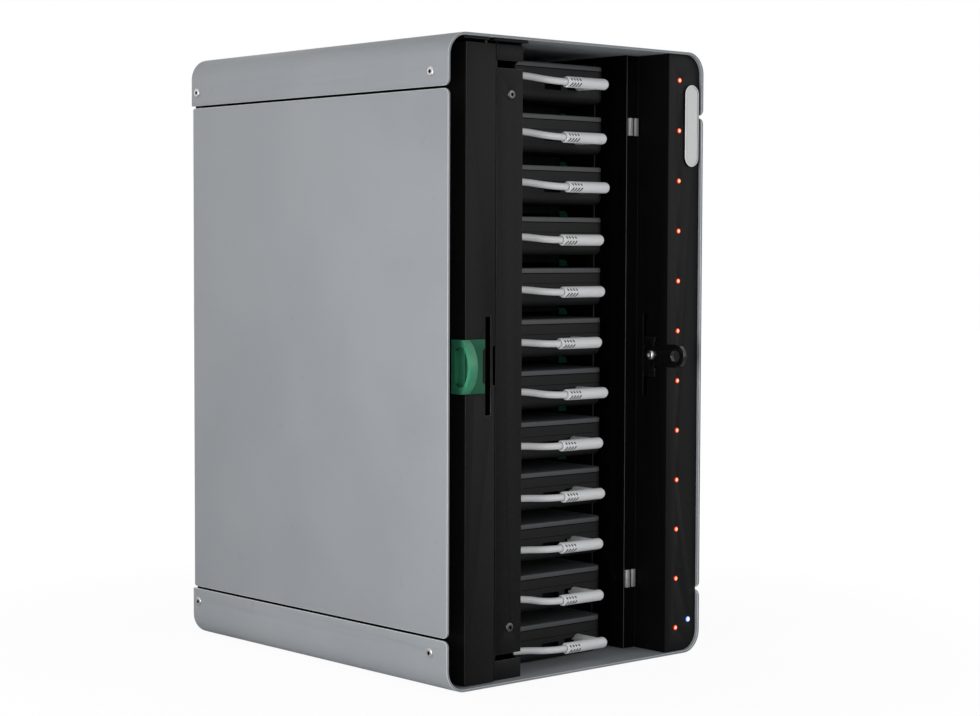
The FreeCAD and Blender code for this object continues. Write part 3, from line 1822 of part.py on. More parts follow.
plugs = []
for n in range(BAYS):
    number = f"{n + 1:02d}"
    route = lead_route(n)
    path, radii = rounded_path(route)
    corners = []
    for side in range(LEAD_SIDES + 1):
        turn = 2 * math.pi * side / LEAD_SIDES
        across = value_of("lead_radius") * math.cos(turn)
        above = value_of("lead_radius") * math.sin(turn)
        corners.append(route[0] + FreeCAD.Vector(0, across, above))
    section = Part.makePolygon(corners)
    tube = path.makePipeShell([section], True, False)
    sector = LEAD_SIDES / 2 * math.sin(2 * math.pi / LEAD_SIDES)
    wanted = sector * value_of("lead_radius") ** 2 * path.Length
    print(
        f"lead {number}: length {path.Length:.1f}, smallest radius {min(radii):.1f}, "
        f"volume share {tube.Volume / wanted:.4f}"
    )
    lead = doc.addObject("Part::Feature", f"lead_{number}")
    lead.Shape = tube
    piece(lead, f"charge_lead_{number}")
    level = lead_z[n]
    right = f"plug_right + plug_shift_{number}"
    left = f"{right} - plug_length"
    profile = (
        (left, "plug_neck_radius"),
        (f"{left} + plug_neck", "plug_radius"),
        (f"{right} - plug_radius", "plug_radius"),
        (f"{right} - plug_radius * {NOSE_SHARE}", f"plug_radius * {NOSE_WIDE_SHARE}"),
        (right, f"plug_radius * {NOSE_TIP_SHARE}"),
    )
    rings = []
    for step, (x, radius) in enumerate(profile):
        loop = doc.addObject("Part::RegularPolygon", f"plug_{number}_ring_{step}")
        loop.Polygon = SIDES
        bind(loop, "Circumradius", radius)
        loop.Placement = FreeCAD.Placement(FreeCAD.Vector(), TURNS["x"])
        place(loop, x, "plug_line", level)
        rings.append(loop)
    grip = doc.addObject("Part::Loft", f"plug_{number}_grip")
    grip.Sections = rings
    grip.Solid = True
    grip.Ruled = True
    stub = sided_bar(
        f"plug_{number}_stub",
        LEAD_SIDES,
        "y",
        "stub_radius",
        "plug_line",
        "device_front",
        f"{right} - stub_back",
        level,
    )
    tip = block(
        f"plug_{number}_tip",
        (f"{right} - stub_back - tongue_half_width", f"{right} - stub_back + tongue_half_width"),
        ("device_front", "device_front + tongue_reach"),
        (f"{level} - tongue_half_height", f"{level} + tongue_half_height"),
    )
    plugs.append(joined(f"plug_{number}", [grip, stub, tip]))
piece(apart("plug_set", plugs), "lead_plugs")

# Mains inlet: a flanged housing in the rear panel with a socket, three blades and a fuse drawer.
INLET_X = ("inlet_left", "inlet_left + inlet_width")
INLET_Z = ("inlet_low", "inlet_low + inlet_height")
REAR = "wall_back + inner_sheet"
inlet_shell = without(
    "inlet_shell",
    joined(
        "inlet_solid",
        [
            block("inlet_case", INLET_X, (f"{REAR} - inlet_body", REAR), INLET_Z),
            block(
                "inlet_rim",
                ("inlet_left - inlet_lip", "inlet_left + inlet_width + inlet_lip"),
                (REAR, f"{REAR} + inlet_lip_thick"),
                ("inlet_low - inlet_lip", "inlet_low + inlet_height + inlet_lip"),
            ),
        ],
    ),
    [
        block(
            "inlet_socket",
            ("inlet_left + socket_inset", "inlet_left + inlet_width - socket_inset"),
            (f"{REAR} + inlet_lip_thick - socket_depth", f"{REAR} + 2 * inlet_lip_thick"),
            ("inlet_low + socket_low", "inlet_low + socket_low + socket_height"),
        )
    ],
)
INLET_MID = "inlet_left + inlet_width / 2"
SOCKET_END = f"{REAR} + inlet_lip_thick - socket_depth"
blades = []
for label, shift, rise in (
    ("left", "-blade_spread", "blade_low_rise"),
    ("right", "+blade_spread", "blade_low_rise"),
    ("middle", "+0", "blade_high_rise"),
):
    centre_z = f"inlet_low + socket_low + {rise}"
    blades.append(
        block(
            f"blade_{label}",
            (
                f"{INLET_MID} {shift} - blade_half_thick",
                f"{INLET_MID} {shift} + blade_half_thick",
            ),
            (f"{SOCKET_END} - blade_half_width", f"{SOCKET_END} + blade_length"),
            (f"{centre_z} - blade_half_width", f"{centre_z} + blade_half_width"),
        )
    )
fuse_drawer = block(
    "fuse_drawer",
    ("inlet_left + socket_inset", "inlet_left + inlet_width - socket_inset"),
    (REAR, f"{REAR} + inlet_lip_thick + fuse_proud"),
    ("inlet_low + fuse_low", "inlet_low + fuse_low + fuse_height"),
)
piece(joined("inlet_body", [inlet_shell, fuse_drawer] + blades), "power_inlet")

# Electronics in the hollow behind the light column: a ribbed supply and a charge board.
WALL_BACK_FACE = "wall_left + inner_sheet"
supply_box = block(
    "supply_box",
    (WALL_BACK_FACE, f"{WALL_BACK_FACE} + supply_thick"),
    ("supply_front", "supply_back"),
    ("supply_low", "supply_high"),
)
ribs = [
    block(
        f"supply_rib_{n}",
        (f"{WALL_BACK_FACE} + supply_thick", f"{WALL_BACK_FACE} + supply_thick + supply_rib"),
        ("supply_front + supply_rib", "supply_back - supply_rib"),
        (
            f"supply_low + ({n} + 0.5) * (supply_high - supply_low) / {RIBS} - supply_rib / 2",
            f"supply_low + ({n} + 0.5) * (supply_high - supply_low) / {RIBS} + supply_rib / 2",
        ),
    )
    for n in range(RIBS)
]
piece(joined("supply_body", [supply_box] + ribs), "power_supply")
BOARD_LEFT = f"{WALL_BACK_FACE} + board_stand"
board = block(
    "board_sheet_block",
    (BOARD_LEFT, f"{BOARD_LEFT} + board_sheet"),
    ("board_front", "board_back"),
    ("board_low", "board_high"),
)
board_pieces = [board]
for n, (spot_y, spot_z) in enumerate(
    (
        ("board_front + board_inset", "board_low + board_inset"),
        ("board_back - board_inset", "board_low + board_inset"),
        ("board_front + board_inset", "board_high - board_inset"),
        ("board_back - board_inset", "board_high - board_inset"),
    )
):
    board_pieces.append(
        sided_bar(
            f"board_stand_{n}",
            SIDES,
            "x",
            "spacer_radius",
            WALL_BACK_FACE,
            BOARD_LEFT,
            spot_y,
            spot_z,
        )
    )
for n in range(CHIPS):
    chip_room = f"(board_high - board_low - 2 * board_inset) / {CHIPS}"
    low = f"board_low + board_inset + ({n} + 0.5) * {chip_room}"
    board_pieces.append(
        block(
            f"board_chip_{n}",
            (f"{BOARD_LEFT} + board_sheet", f"{BOARD_LEFT} + board_sheet + board_chip_height"),
            ("board_front + 3 * board_inset", "board_front + 3 * board_inset + board_chip"),
            (f"{low} - board_chip / 2", f"{low} + board_chip / 2"),
        )
    )
piece(joined("board_body", board_pieces), "charge_board")

doc.recompute()

# Every piece is checked before anything is written.
for thing in doc.Objects:
    state = thing.State
    if "Invalid" in state or "Error" in state:
        raise RuntimeError(f"{thing.Name} did not build: {state}")
os.makedirs("parts", exist_ok=True)
for thing in pieces:
    shape = thing.Shape
    if shape.isNull() or not shape.isValid():
        raise RuntimeError(thing.Label + " is not a valid shape")
    shape.exportStep(f"parts/{thing.Label}.step")
print(len(pieces), "pieces")
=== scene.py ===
# %% [markdown]
# # Dressing a charging station
# The metalwork, the door and all that is inside come from the CAD model as plain solids.
# This notebook gives them the finish of the real thing, and models again what the eye goes to:
# the white leads and plugs, the docked devices, the screws, the lights, the pull and the hasp.

# %% Load the frame
import json
import math

import bpy
from mathutils import Matrix, Vector


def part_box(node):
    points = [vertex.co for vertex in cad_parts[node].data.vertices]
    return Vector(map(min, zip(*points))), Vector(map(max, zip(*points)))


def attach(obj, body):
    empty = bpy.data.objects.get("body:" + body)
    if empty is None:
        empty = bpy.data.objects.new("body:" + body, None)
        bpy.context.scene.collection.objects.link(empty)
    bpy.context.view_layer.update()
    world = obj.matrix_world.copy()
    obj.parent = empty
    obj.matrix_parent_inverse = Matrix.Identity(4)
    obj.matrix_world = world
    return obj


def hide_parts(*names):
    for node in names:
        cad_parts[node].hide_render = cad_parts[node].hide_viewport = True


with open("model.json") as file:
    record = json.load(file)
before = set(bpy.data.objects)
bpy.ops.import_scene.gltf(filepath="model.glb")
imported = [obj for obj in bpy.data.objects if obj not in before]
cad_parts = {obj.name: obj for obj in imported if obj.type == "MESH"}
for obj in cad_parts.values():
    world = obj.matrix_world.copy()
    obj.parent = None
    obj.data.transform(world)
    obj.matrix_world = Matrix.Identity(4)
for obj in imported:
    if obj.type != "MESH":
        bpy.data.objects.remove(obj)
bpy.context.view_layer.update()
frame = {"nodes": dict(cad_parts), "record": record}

# %% [markdown]
# The CAD sizes are in millimetres from the shell's left side, its front edge and the floor.
# Blender works in metres from the middle of the underside, which lies 193.7 mm behind the front edge,
# so one helper moves between the two.

# %% Places in the cabinet
BAYS = 12
BAY_PITCH = 49.6
SHELL_SHEET = 2.4
SHELL_WIDTH = 335.0
MIDDLE_DEPTH = 193.7


def spot(x, y, z):
    """A place given in millimetres from the left side, the front edge and the floor."""
    return Vector(((x - SHELL_WIDTH / 2) / 1000, (y - MIDDLE_DEPTH) / 1000, z / 1000))


def bay_floor(n):
    """Height of a bay's floor in millimetres, where bay 0 is the top one."""
    return SHELL_SHEET + (BAYS - 1 - n) * BAY_PITCH


print("top bay starts", round(bay_floor(0), 1), "mm up")

# %% [markdown]
# The camera comes first.
# Its place was solved from the straight edges of the shell: it stands about two metres away to the
# front left, a little above the middle, with a long lens that hardly converges.

# %% Camera
FOCAL_LENGTH = 78.151
SENSOR_WIDTH = 36
CAMERA_PLACE = Vector((-1.408964, -1.648253, 0.405402))
scene = bpy.context.scene
lens = bpy.data.cameras.new("camera")
lens.lens = FOCAL_LENGTH
lens.sensor_width = SENSOR_WIDTH
camera = bpy.data.objects.new("camera", lens)
scene.collection.objects.link(camera)
rightward = Vector((0.7476326, -0.6641037, 0.0034180))
upward = Vector((0.0316562, 0.0407778, 0.9986666))
backward = Vector((-0.6633576, -0.7465276, 0.0515098))
turn = Matrix((rightward, upward, backward)).transposed().to_4x4()
camera.matrix_world = Matrix.Translation(CAMERA_PLACE) @ turn
scene.camera = camera
print("camera", [round(v, 3) for v in camera.location])

# %% [markdown]
# Each charge lead is a short white cable, 6.6 mm thick. It leaves the cable post straight out, sinks
# a little and comes forward to its plug. A smooth spline with few points keeps it soft, so the
# route has four control points: two in line with the exit and two in line with the plug.

# %% Routes of the leads
PLUG_SHIFT = (2.0, -0.2, 4.1, -3.1, -1.3, -5.0, 3.8, -2.6, 0.4, -1.7, -0.5, 4.6)
PLUG_LIFT = (1.4, -1.6, 0.8, -0.4, -0.7, -0.4, -0.1, 0.5, 0.4, 0.8, -0.4, 1.8)
LEAD_RISE = (4.4, 4.4, 4.1, 3.2, 3.1, 2.2, 4.7, 1.8, 1.5, 1.2, 5.2, 2.5)
LEAD_START = 103.4
LEAD_LINE = 33.0
PLUG_LINE = 22.0
PLUG_RIGHT = 218.9
PLUG_LENGTH = 54.8
PORT_HEIGHT = 14.8
LEAD_RADIUS = 3.3
ALONG_SHARES = (0.0, 0.28, 0.72, 1.0)
ACROSS_SHARES = (0.0, 0.0, 1.0, 1.0)


def plug_level(n):
    return bay_floor(n) + PORT_HEIGHT + PLUG_LIFT[n]


def lead_points(n):
    """The lead's control points, from the post to the plug."""
    end = PLUG_RIGHT + PLUG_SHIFT[n] - PLUG_LENGTH
    points = []
    for along, across in zip(ALONG_SHARES, ACROSS_SHARES):
        x = LEAD_START + along * (end - LEAD_START)
        y = LEAD_LINE + across * (PLUG_LINE - LEAD_LINE)
        z = plug_level(n) + LEAD_RISE[n] * (1 - across)
        points.append(spot(x, y, z))
    return points


def run_length(points):
    return sum((b - a).length for a, b in zip(points, points[1:]))


print("leads from", round(min(run_length(lead_points(n)) for n in range(BAYS)), 4), "m")

# %% Leads as splines
leads = []
for n in range(BAYS):
    points = lead_points(n)
    curve = bpy.data.curves.new(f"lead_{n + 1:02d}", "CURVE")
    curve.dimensions = "3D"
    spline = curve.splines.new("NURBS")
    spline.points.add(len(points) - 1)
    for knot, point in zip(spline.points, points):
        knot.co = (*point, 1)
        knot.radius = LEAD_RADIUS / 1000
    spline.order_u = 3
    spline.use_endpoint_u = True
    curve.resolution_u = 12
    curve.bevel_depth = 1.0
    curve.bevel_resolution = 8
    curve.use_fill_caps = True
    lead = bpy.data.objects.new(f"lead_{n + 1:02d}", curve)
    scene.collection.objects.link(lead)
    leads.append(lead)
print(len(leads), "leads")

# %% [markdown]
# Most pieces are shaped as by hand, with Blender's own operators. An operator acts on all that is
# selected, so these few helpers select one thing at a time: an object, or the faces, edges or
# corners of the mesh in edit mode that pass a test.

# %% Working by hand
def only(thing):
    """Selects this object and nothing else."""
    if bpy.context.mode != "OBJECT":
        bpy.ops.object.mode_set(mode="OBJECT")
    bpy.ops.object.select_all(action="DESELECT")
    thing.select_set(True)
    bpy.context.view_layer.objects.active = thing


def settled(thing):
    """Puts an object's place, turn and size into its mesh."""
    only(thing)
    bpy.ops.object.transform_apply(location=True, rotation=True, scale=True)
    return thing


def started(name):
    """Names the primitive that was just added and settles it."""
    thing = bpy.context.active_object
    thing.name = name
    thing.data.name = name
    return settled(thing)


def pick(thing, kind, test):
    """Selects in edit mode the faces, edges or corners whose middle passes a test."""
    only(thing)
    bpy.ops.object.mode_set(mode="EDIT")
    bpy.ops.mesh.select_mode(type=kind)
    bpy.ops.mesh.select_all(action="DESELECT")
    bpy.ops.object.mode_set(mode="OBJECT")
    mesh = thing.data
    places = [corner.co for corner in mesh.vertices]
    if kind == "FACE":
        for face in mesh.polygons:
            face.select = bool(test(face.center, face.normal))
    elif kind == "EDGE":
        for edge in mesh.edges:
            first, last = (places[corner] for corner in edge.vertices)
            edge.select = bool(test(first, last))
    else:
        for corner in mesh.vertices:
            corner.select = bool(test(corner.co))
    bpy.ops.object.mode_set(mode="EDIT")


def done():
    """Leaves edit mode."""
    bpy.ops.object.mode_set(mode="OBJECT")


def modified(thing, kind, **settings):
    """Adds a modifier, sets it up and applies it."""
    only(thing)
    change = thing.modifiers.new(kind.title(), kind)
    for name, value in settings.items():
        setattr(change, name, value)
    bpy.ops.object.modifier_apply(modifier=change.name)


def smooth(thing, angle=35):
    only(thing)
    bpy.ops.object.shade_smooth_by_angle(angle=math.radians(angle))
    return thing


def copied(thing, name, shift):
    """A copy with a mesh of its own, moved within the mesh."""
    twin = bpy.data.objects.new(name, thing.data.copy())
    twin.data.name = name
    twin.data.transform(Matrix.Translation(shift))
    scene.collection.objects.link(twin)
    return twin


def same(a, b, slack=1e-5):
    return abs(a - b) < slack


print("helpers ready")

# %% [markdown]
# The plug is moulded in one piece with its bend: a capsule that lies across the device, and a short
# stub that turns back into the port. The lead enters through a shallow dimple, beside slanted slits
# that let the end flex. It starts as a cylinder, whose rims are rounded by bevels, an inset pushed in
# makes the dimple, and small blades cut the slits, so that they are real hollows from all sides.

# %% Plug: the capsule
PLUG_RADIUS = 5.35
TIP_ROUNDING = 4.4
MOUTH_ROUNDING = 1.2
DIMPLE_RIM = 0.4
DIMPLE_DEPTH = 1.6
plug_middle = spot(PLUG_RIGHT - PLUG_LENGTH / 2, PLUG_LINE, 0)
plug_left = spot(PLUG_RIGHT - PLUG_LENGTH, PLUG_LINE, 0).x
plug_right = spot(PLUG_RIGHT, PLUG_LINE, 0).x

bpy.ops.mesh.primitive_cylinder_add(
    vertices=40,
    radius=PLUG_RADIUS / 1000,
    depth=PLUG_LENGTH / 1000,
    location=plug_middle,
    rotation=(0, math.radians(90), 0),
)
plug = started("plug_01")
pick(plug, "EDGE", lambda a, b: same(a.x, plug_right) and same(b.x, plug_right))
bpy.ops.mesh.bevel(offset=TIP_ROUNDING / 1000, segments=8, profile=0.5)
done()
pick(plug, "EDGE", lambda a, b: same(a.x, plug_left) and same(b.x, plug_left))
bpy.ops.mesh.bevel(offset=MOUTH_ROUNDING / 1000, segments=4, profile=0.5)
done()
pick(plug, "FACE", lambda middle, normal: same(middle.x, plug_left))
bpy.ops.mesh.inset(thickness=DIMPLE_RIM / 1000)
bpy.ops.transform.translate(value=(DIMPLE_DEPTH / 1000, 0, 0))
done()
print("capsule", len(plug.data.polygons), "faces")

# %% [markdown]
# The slits lie in two rows on each side, front and rear. A row is given by the way its slits lean, how
# long they are, and how many degrees round the plug it lies.

# %% Plug: the slits
SLITS = 4
FIRST_SLIT = 3.4
SLIT_PITCH = 3.8
SLIT_WIDTH = 1.5
SLIT_DEPTH = 3.2
SLIT_SLANT = 34
BLADE_LIFT = 0.1
SLIT_ROWS = ((-1, 2.6, 27), (1, 5.0, -33))
blades = []
for side in (-1, 1):
    for lean, length, turned in SLIT_ROWS:
        for step in range(SLITS):
            bpy.ops.mesh.primitive_cube_add(size=1)
            blade = bpy.context.active_object
            across = Matrix.Diagonal((SLIT_WIDTH / 1000, SLIT_DEPTH / 1000, length / 1000, 1))
            slant = Matrix.Rotation(math.radians(SLIT_SLANT * lean), 4, "Y")
            outward = Matrix.Translation((0, side * (PLUG_RADIUS + BLADE_LIFT) / 1000, 0))
            around = Matrix.Rotation(math.radians(turned * side), 4, "X")
            place = plug_left + (FIRST_SLIT + SLIT_PITCH * step) / 1000
            shift = Matrix.Translation((place, plug_middle.y, 0))
            blade.matrix_world = shift @ around @ outward @ slant @ across
            blades.append(settled(blade))
only(blades[0])
for blade in blades:
    blade.select_set(True)
bpy.ops.object.join()
blades = bpy.context.active_object
modified(plug, "BOOLEAN", object=blades, operation="DIFFERENCE", solver="EXACT")
bpy.data.objects.remove(blades)
print("with slits", len(plug.data.polygons), "faces")

# %% Plug: the stub
STUB_BACK = 8.0
STUB_RADIUS = 4.7
STUB_ROUNDING = 0.9
TONGUE_WIDTH = 8.4
TONGUE_LENGTH = 3.6
TONGUE_THICK = 2.6
TONGUE_ROUNDING = 0.6
DEVICE_FRONT = 54.0
bpy.ops.mesh.primitive_cylinder_add(
    vertices=32,
    radius=STUB_RADIUS / 1000,
    depth=(DEVICE_FRONT - PLUG_LINE) / 1000,
    location=spot(PLUG_RIGHT - STUB_BACK, (DEVICE_FRONT + PLUG_LINE) / 2, 0),
    rotation=(math.radians(90), 0, 0),
)
stub = started("stub")
port_face = spot(0, DEVICE_FRONT, 0).y
pick(stub, "EDGE", lambda a, b: same(a.y, port_face) and same(b.y, port_face))
bpy.ops.mesh.bevel(offset=STUB_ROUNDING / 1000, segments=3)
done()
tongue_middle = spot(PLUG_RIGHT - STUB_BACK, DEVICE_FRONT + TONGUE_LENGTH / 2, 0)
bpy.ops.mesh.primitive_cube_add(size=1, location=tongue_middle)
tongue = bpy.context.active_object
tongue.scale = (TONGUE_WIDTH / 1000, TONGUE_LENGTH / 1000, TONGUE_THICK / 1000)
settled(tongue)
modified(tongue, "BEVEL", width=TONGUE_ROUNDING / 1000, segments=2)
only(plug)
stub.select_set(True)
tongue.select_set(True)
bpy.ops.object.join()
plug = smooth(bpy.context.active_object, 40)
print("plug", len(plug.data.polygons), "faces")

# %% Plug: which faces lie in slits
SLITS_FROM = 1.9
SLITS_TO = 22.0
SKIN = 0.2
sunk = 0
for face in plug.data.polygons:
    along = (face.center.x - plug_left) * 1000
    away = math.hypot(face.center.y - plug_middle.y, face.center.z) * 1000
    face.material_index = int(away < PLUG_RADIUS - SKIN and SLITS_FROM < along < SLITS_TO)
    sunk += face.material_index
print(sunk, "faces in slits")

# %% Plugs on their leads
plugs = []
master = plug
for n in range(BAYS):
    shift = (PLUG_SHIFT[n] / 1000, 0, plug_level(n) / 1000)
    plugs.append(copied(master, f"plug_{n + 1:02d}_moulded", shift))
bpy.data.objects.remove(master)
for n, (lead, plug) in enumerate(zip(leads, plugs)):
    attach(plug, "cabinet")
    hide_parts("lead_plugs")
    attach(lead, "cabinet")
    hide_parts(f"charge_lead_{n + 1:02d}")
    start = lead_points(n)[0]
    run_length(lead_points(n))
print(len(plugs), "plugs")

# %% [markdown]
# A finish is a small network of nodes. To keep it readable, shader maths is written as plain
# Python: a Wire stands for a socket, and adding or multiplying wires adds the Math nodes.

# %% Shader maths
class Wire:
    """A node's output that can be used in sums."""

    def __init__(self, paint, socket):
        self.paint = paint
        self.socket = socket

    def joined(self, operation, first, second=None):
        values = {0: first}
        if second is not None:
            values[1] = second
        return self.paint.node("ShaderNodeMath", {"operation": operation}, values)

    def __add__(self, other):
        return self.joined("ADD", self, other)

    def __radd__(self, other):
        return self.joined("ADD", other, self)

    def __sub__(self, other):
        return self.joined("SUBTRACT", self, other)

    def __rsub__(self, other):
        return self.joined("SUBTRACT", other, self)

    def __mul__(self, other):
        return self.joined("MULTIPLY", self, other)

    def __rmul__(self, other):
        return self.joined("MULTIPLY", other, self)

    def __truediv__(self, other):
        return self.joined("DIVIDE", self, other)

    def __pow__(self, other):
        return self.joined("POWER", self, other)

    def floor(self):
        return self.joined("FLOOR", self)

    def between(self, low, high):
        """0 below low, 1 above high, and a smooth step from one to the other."""
        settings = {"interpolation_type": "SMOOTHSTEP"}
        values = {"Value": self, "From Min": low, "From Max": high}
        return self.paint.node("ShaderNodeMapRange", settings, values)


class Paint:
    """A material whose nodes are added one by one."""

    def __init__(self, name, roughness=0.5, metallic=0.0, **sockets):
        self.material = bpy.data.materials.new(name)
        self.material.use_nodes = True
        self.tree = self.material.node_tree
        self.shader = self.tree.nodes["Principled BSDF"]
        self.set("Roughness", roughness)
        self.set("Metallic", metallic)
        for socket, value in sockets.items():
            self.set(socket.replace("_", " "), value)

    def feed(self, socket, value):
        if isinstance(value, Wire):
            self.tree.links.new(value.socket, socket)
        elif isinstance(value, (tuple, list)) and len(value) == 3 and socket.type == "RGBA":
            socket.default_value = (*value, 1)
        else:
            socket.default_value = value

    def set(self, socket, value):
        self.feed(self.shader.inputs[socket], value)

    def node(self, kind, settings=None, sockets=None, output=0):
        made = self.tree.nodes.new(kind)
        for name, value in (settings or {}).items():
            if name == "stops":
                ramp = made.color_ramp
                while len(ramp.elements) < len(value):
                    ramp.elements.new(1)
                for element, (place, colour) in zip(ramp.elements, value):
                    element.position = place
                    element.color = (*colour, 1)
            else:
                setattr(made, name, value)
        for name, value in (sockets or {}).items():
            self.feed(made.inputs[name], value)
        return Wire(self, made.outputs[output])

    def place(self):
        """The point of the surface in the object's own metres."""
        return self.node("ShaderNodeTexCoord", output="Object")

    def noise(self, size, detail=2.0, roughness=0.5, where=None):
        """Noise from 0 to 1, whose blots are about as large as size, in millimetres."""
        sockets = {
            "Vector": where or self.place(),
            "Scale": 1000 / size,
            "Detail": detail,
            "Roughness": roughness,
        }
        return self.node("ShaderNodeTexNoise", None, sockets, "Fac")

    def blend(self, mask, low, high):
        """A colour that goes from low to high as the mask goes from 0 to 1."""
        values = {"Factor": mask, 6: low, 7: high}
        return self.node("ShaderNodeMix", {"data_type": "RGBA"}, values, 2)

    def bump(self, height, depth, strength=1.0):
        """Roughens the surface by a height from 0 to 1 that stands for depth in millimetres."""
        values = {"Strength": strength, "Distance": depth / 1000, "Height": height}
        self.set("Normal", self.node("ShaderNodeBump", None, values, "Normal"))


print("paints can be mixed")

# %% [markdown]
# The shell is powder coated in a satin silver grey. Seen close, such a coat has a fine orange peel,
# and a handled cabinet has a few faint smudges, so the colour and the gloss both wander a little.

# %% Silver coat
finishes = {}
silver = Paint("silver_coat", Specular_IOR_Level=0.42)
cloudy = silver.noise(120, 3.0)
speckle = silver.noise(0.7, 1.0)
smudge = silver.noise(17, 2.0, 0.4).between(0.70, 0.80)
tone = cloudy.between(0.3, 0.7)
coat = silver.blend(tone, (0.296, 0.314, 0.333), (0.322, 0.339, 0.357))
coat = silver.blend(speckle.between(0.35, 0.65) * 0.18, coat, (0.25, 0.265, 0.28))
coat = silver.blend(smudge * 0.16, coat, (0.18, 0.185, 0.20))
silver.set("Base Color", coat)
silver.set("Roughness", 0.40 + 0.08 * tone + 0.10 * smudge)
peel = silver.noise(2.2, 1.0) * 0.75 + speckle * 0.25
silver.bump(peel, 0.03, 0.5)
finishes["silver_coat"] = silver

# Painted highlight: the shell's bevelled edges are a much lighter, glossier grey than the coat.
silver_edge_highlight = Paint("silver_edge_highlight", Specular_IOR_Level=0.6)
rub = silver_edge_highlight.noise(3.0, 2.0)
silver_edge_highlight.set("Base Color", silver_edge_highlight.blend(rub, (0.62, 0.64, 0.66), (0.76, 0.78, 0.80)))
silver_edge_highlight.set("Roughness", 0.26 + 0.12 * rub)
print("silver coat has", len(silver.tree.nodes), "nodes")

# %% [markdown]
# Door, post and inner walls have a black coat with a coarser grain, which shows as a fine sparkle
# of lighter dots where light grazes it. Bends and cut edges get a finish of their own that is much
# lighter and glossier, a painted highlight. The edges of the light column get a still lighter
# painted highlight, the bay wall gets a darker, duller coat that is painted shade, and the hasp is
# glossy all over.

# %% Black coat
black = Paint("black_coat", Specular_IOR_Level=0.15)
grain = black.noise(1.5, 2.0, 0.6)
blotch = black.noise(60, 2.0)
crest = grain.between(0.50, 0.72)
coat = black.blend(crest, (0.0034, 0.0034, 0.0037), (0.0113, 0.0113, 0.0118))
coat = black.blend(blotch.between(0.35, 0.7) * 0.35, coat, (0.0072, 0.0072, 0.0076))
black.set("Base Color", coat)
black.set("Roughness", 0.44 + 0.16 * grain)
black.bump(grain, 0.16, 0.7)
finishes["black_coat"] = black

# Painted highlight: the black sheets' bevelled edges are about ten times lighter than the coat.
black_edge_highlight = Paint("black_edge_highlight", Specular_IOR_Level=0.55)
rub = black_edge_highlight.noise(4.0, 3.0)
black_edge_highlight.set("Base Color", black_edge_highlight.blend(rub, (0.034, 0.034, 0.035), (0.070, 0.070, 0.072)))
black_edge_highlight.set("Roughness", 0.22 + 0.16 * rub)

# A brighter painted highlight for the edges of the light column.
lit_edge_highlight = Paint("lit_edge_highlight", Specular_IOR_Level=0.55)
rub = lit_edge_highlight.noise(4.0, 3.0)
lit_edge_highlight.set("Base Color", lit_edge_highlight.blend(rub, (0.110, 0.110, 0.114), (0.190, 0.190, 0.196)))
lit_edge_highlight.set("Roughness", 0.30 + 0.16 * rub)

# Painted shade: a still darker black for the faces of the bay wall that lie in shade.
inner = Paint("black_painted_shade", Specular_IOR_Level=0.06)
rub = inner.noise(1.5, 2.0, 0.6)
inner.set("Base Color", inner.blend(rub, (0.0012, 0.0012, 0.0013), (0.0030, 0.0030, 0.0032)))
inner.set("Roughness", 0.50 + 0.14 * rub)

gloss = Paint("black_gloss", Specular_IOR_Level=0.5)
rub = gloss.noise(5.0, 3.0)
gloss.set("Base Color", gloss.blend(rub, (0.0020, 0.0020, 0.0022), (0.0045, 0.0045, 0.0048)))
gloss.set("Roughness", 0.14 + 0.10 * rub)
gloss.bump(gloss.noise(2.0), 0.02, 0.3)
finishes["black_gloss"] = gloss
print("black coat has", len(black.tree.nodes), "nodes")

# %% [markdown]
# The docked devices are moulded in black plastic with a finer grain than the coat. Their lids have
# a rim of softer, greyer plastic, painted lighter still as a highlight along the lid. Hardly any light
# reaches into their grooves and ports, so these get a deep matt shade.

# %% Device plastics
case = Paint("black_plastic", Specular_IOR_Level=0.26)
grain = case.noise(1.1, 2.0, 0.55)
wear = case.noise(35, 3.0)
case.set("Base Color", case.blend(wear, (0.0056, 0.0058, 0.0061), (0.0110, 0.0112, 0.0118)))
case.set("Roughness", 0.50 + 0.12 * wear)
case.bump(grain, 0.05, 0.4)
finishes["black_plastic"] = case

# Painted highlight: the lid's rim is a greyer plastic made lighter still, for the light along its top.
rim = Paint("lid_rim", Specular_IOR_Level=0.45)
grain = rim.noise(0.8, 2.0, 0.55)
wear = rim.noise(28, 3.0)
rim.set("Base Color", rim.blend(wear, (0.066, 0.069, 0.074), (0.094, 0.099, 0.107)))
rim.set("Roughness", 0.42 + 0.10 * wear)
rim.bump(grain, 0.04, 0.4)

seam = Paint("seam_shade", roughness=0.8, Specular_IOR_Level=0.1)
seam.set("Base Color", seam.blend(seam.noise(3.0), (0.0010, 0.0010, 0.0010), (0.0022, 0.0022, 0.0023)))
print("device plastics ready")

# %% [markdown]
# Leads and plugs share one soft white plastic. It is not quite even: handling leaves it a shade
# warmer in places, and the moulding skin has a very fine grain.

# %% White lead
white = Paint("white_lead", Specular_IOR_Level=0.4)
haze = white.noise(14, 3.0)
grain = white.noise(0.4, 1.0)
jacket = white.blend(haze, (0.90, 0.906, 0.916), (0.94, 0.945, 0.952))
white.set("Base Color", jacket)
white.set("Roughness", 0.38 + 0.10 * haze)
white.bump(grain, 0.01, 0.25)
finishes["white_lead"] = white

slit = Paint("slit_shade", roughness=0.7)
slit.set("Base Color", slit.blend(slit.noise(2.0), (0.080, 0.082, 0.088), (0.13, 0.132, 0.14)))
print("white lead ready")

# %% [markdown]
# The pull and the bumpers between the devices are moulded in the same green plastic. The edges of
# the pull get a lighter, glossier green, a painted highlight. Its finger hole and the bumpers lie in
# shade and get deeper greens, painted shade.

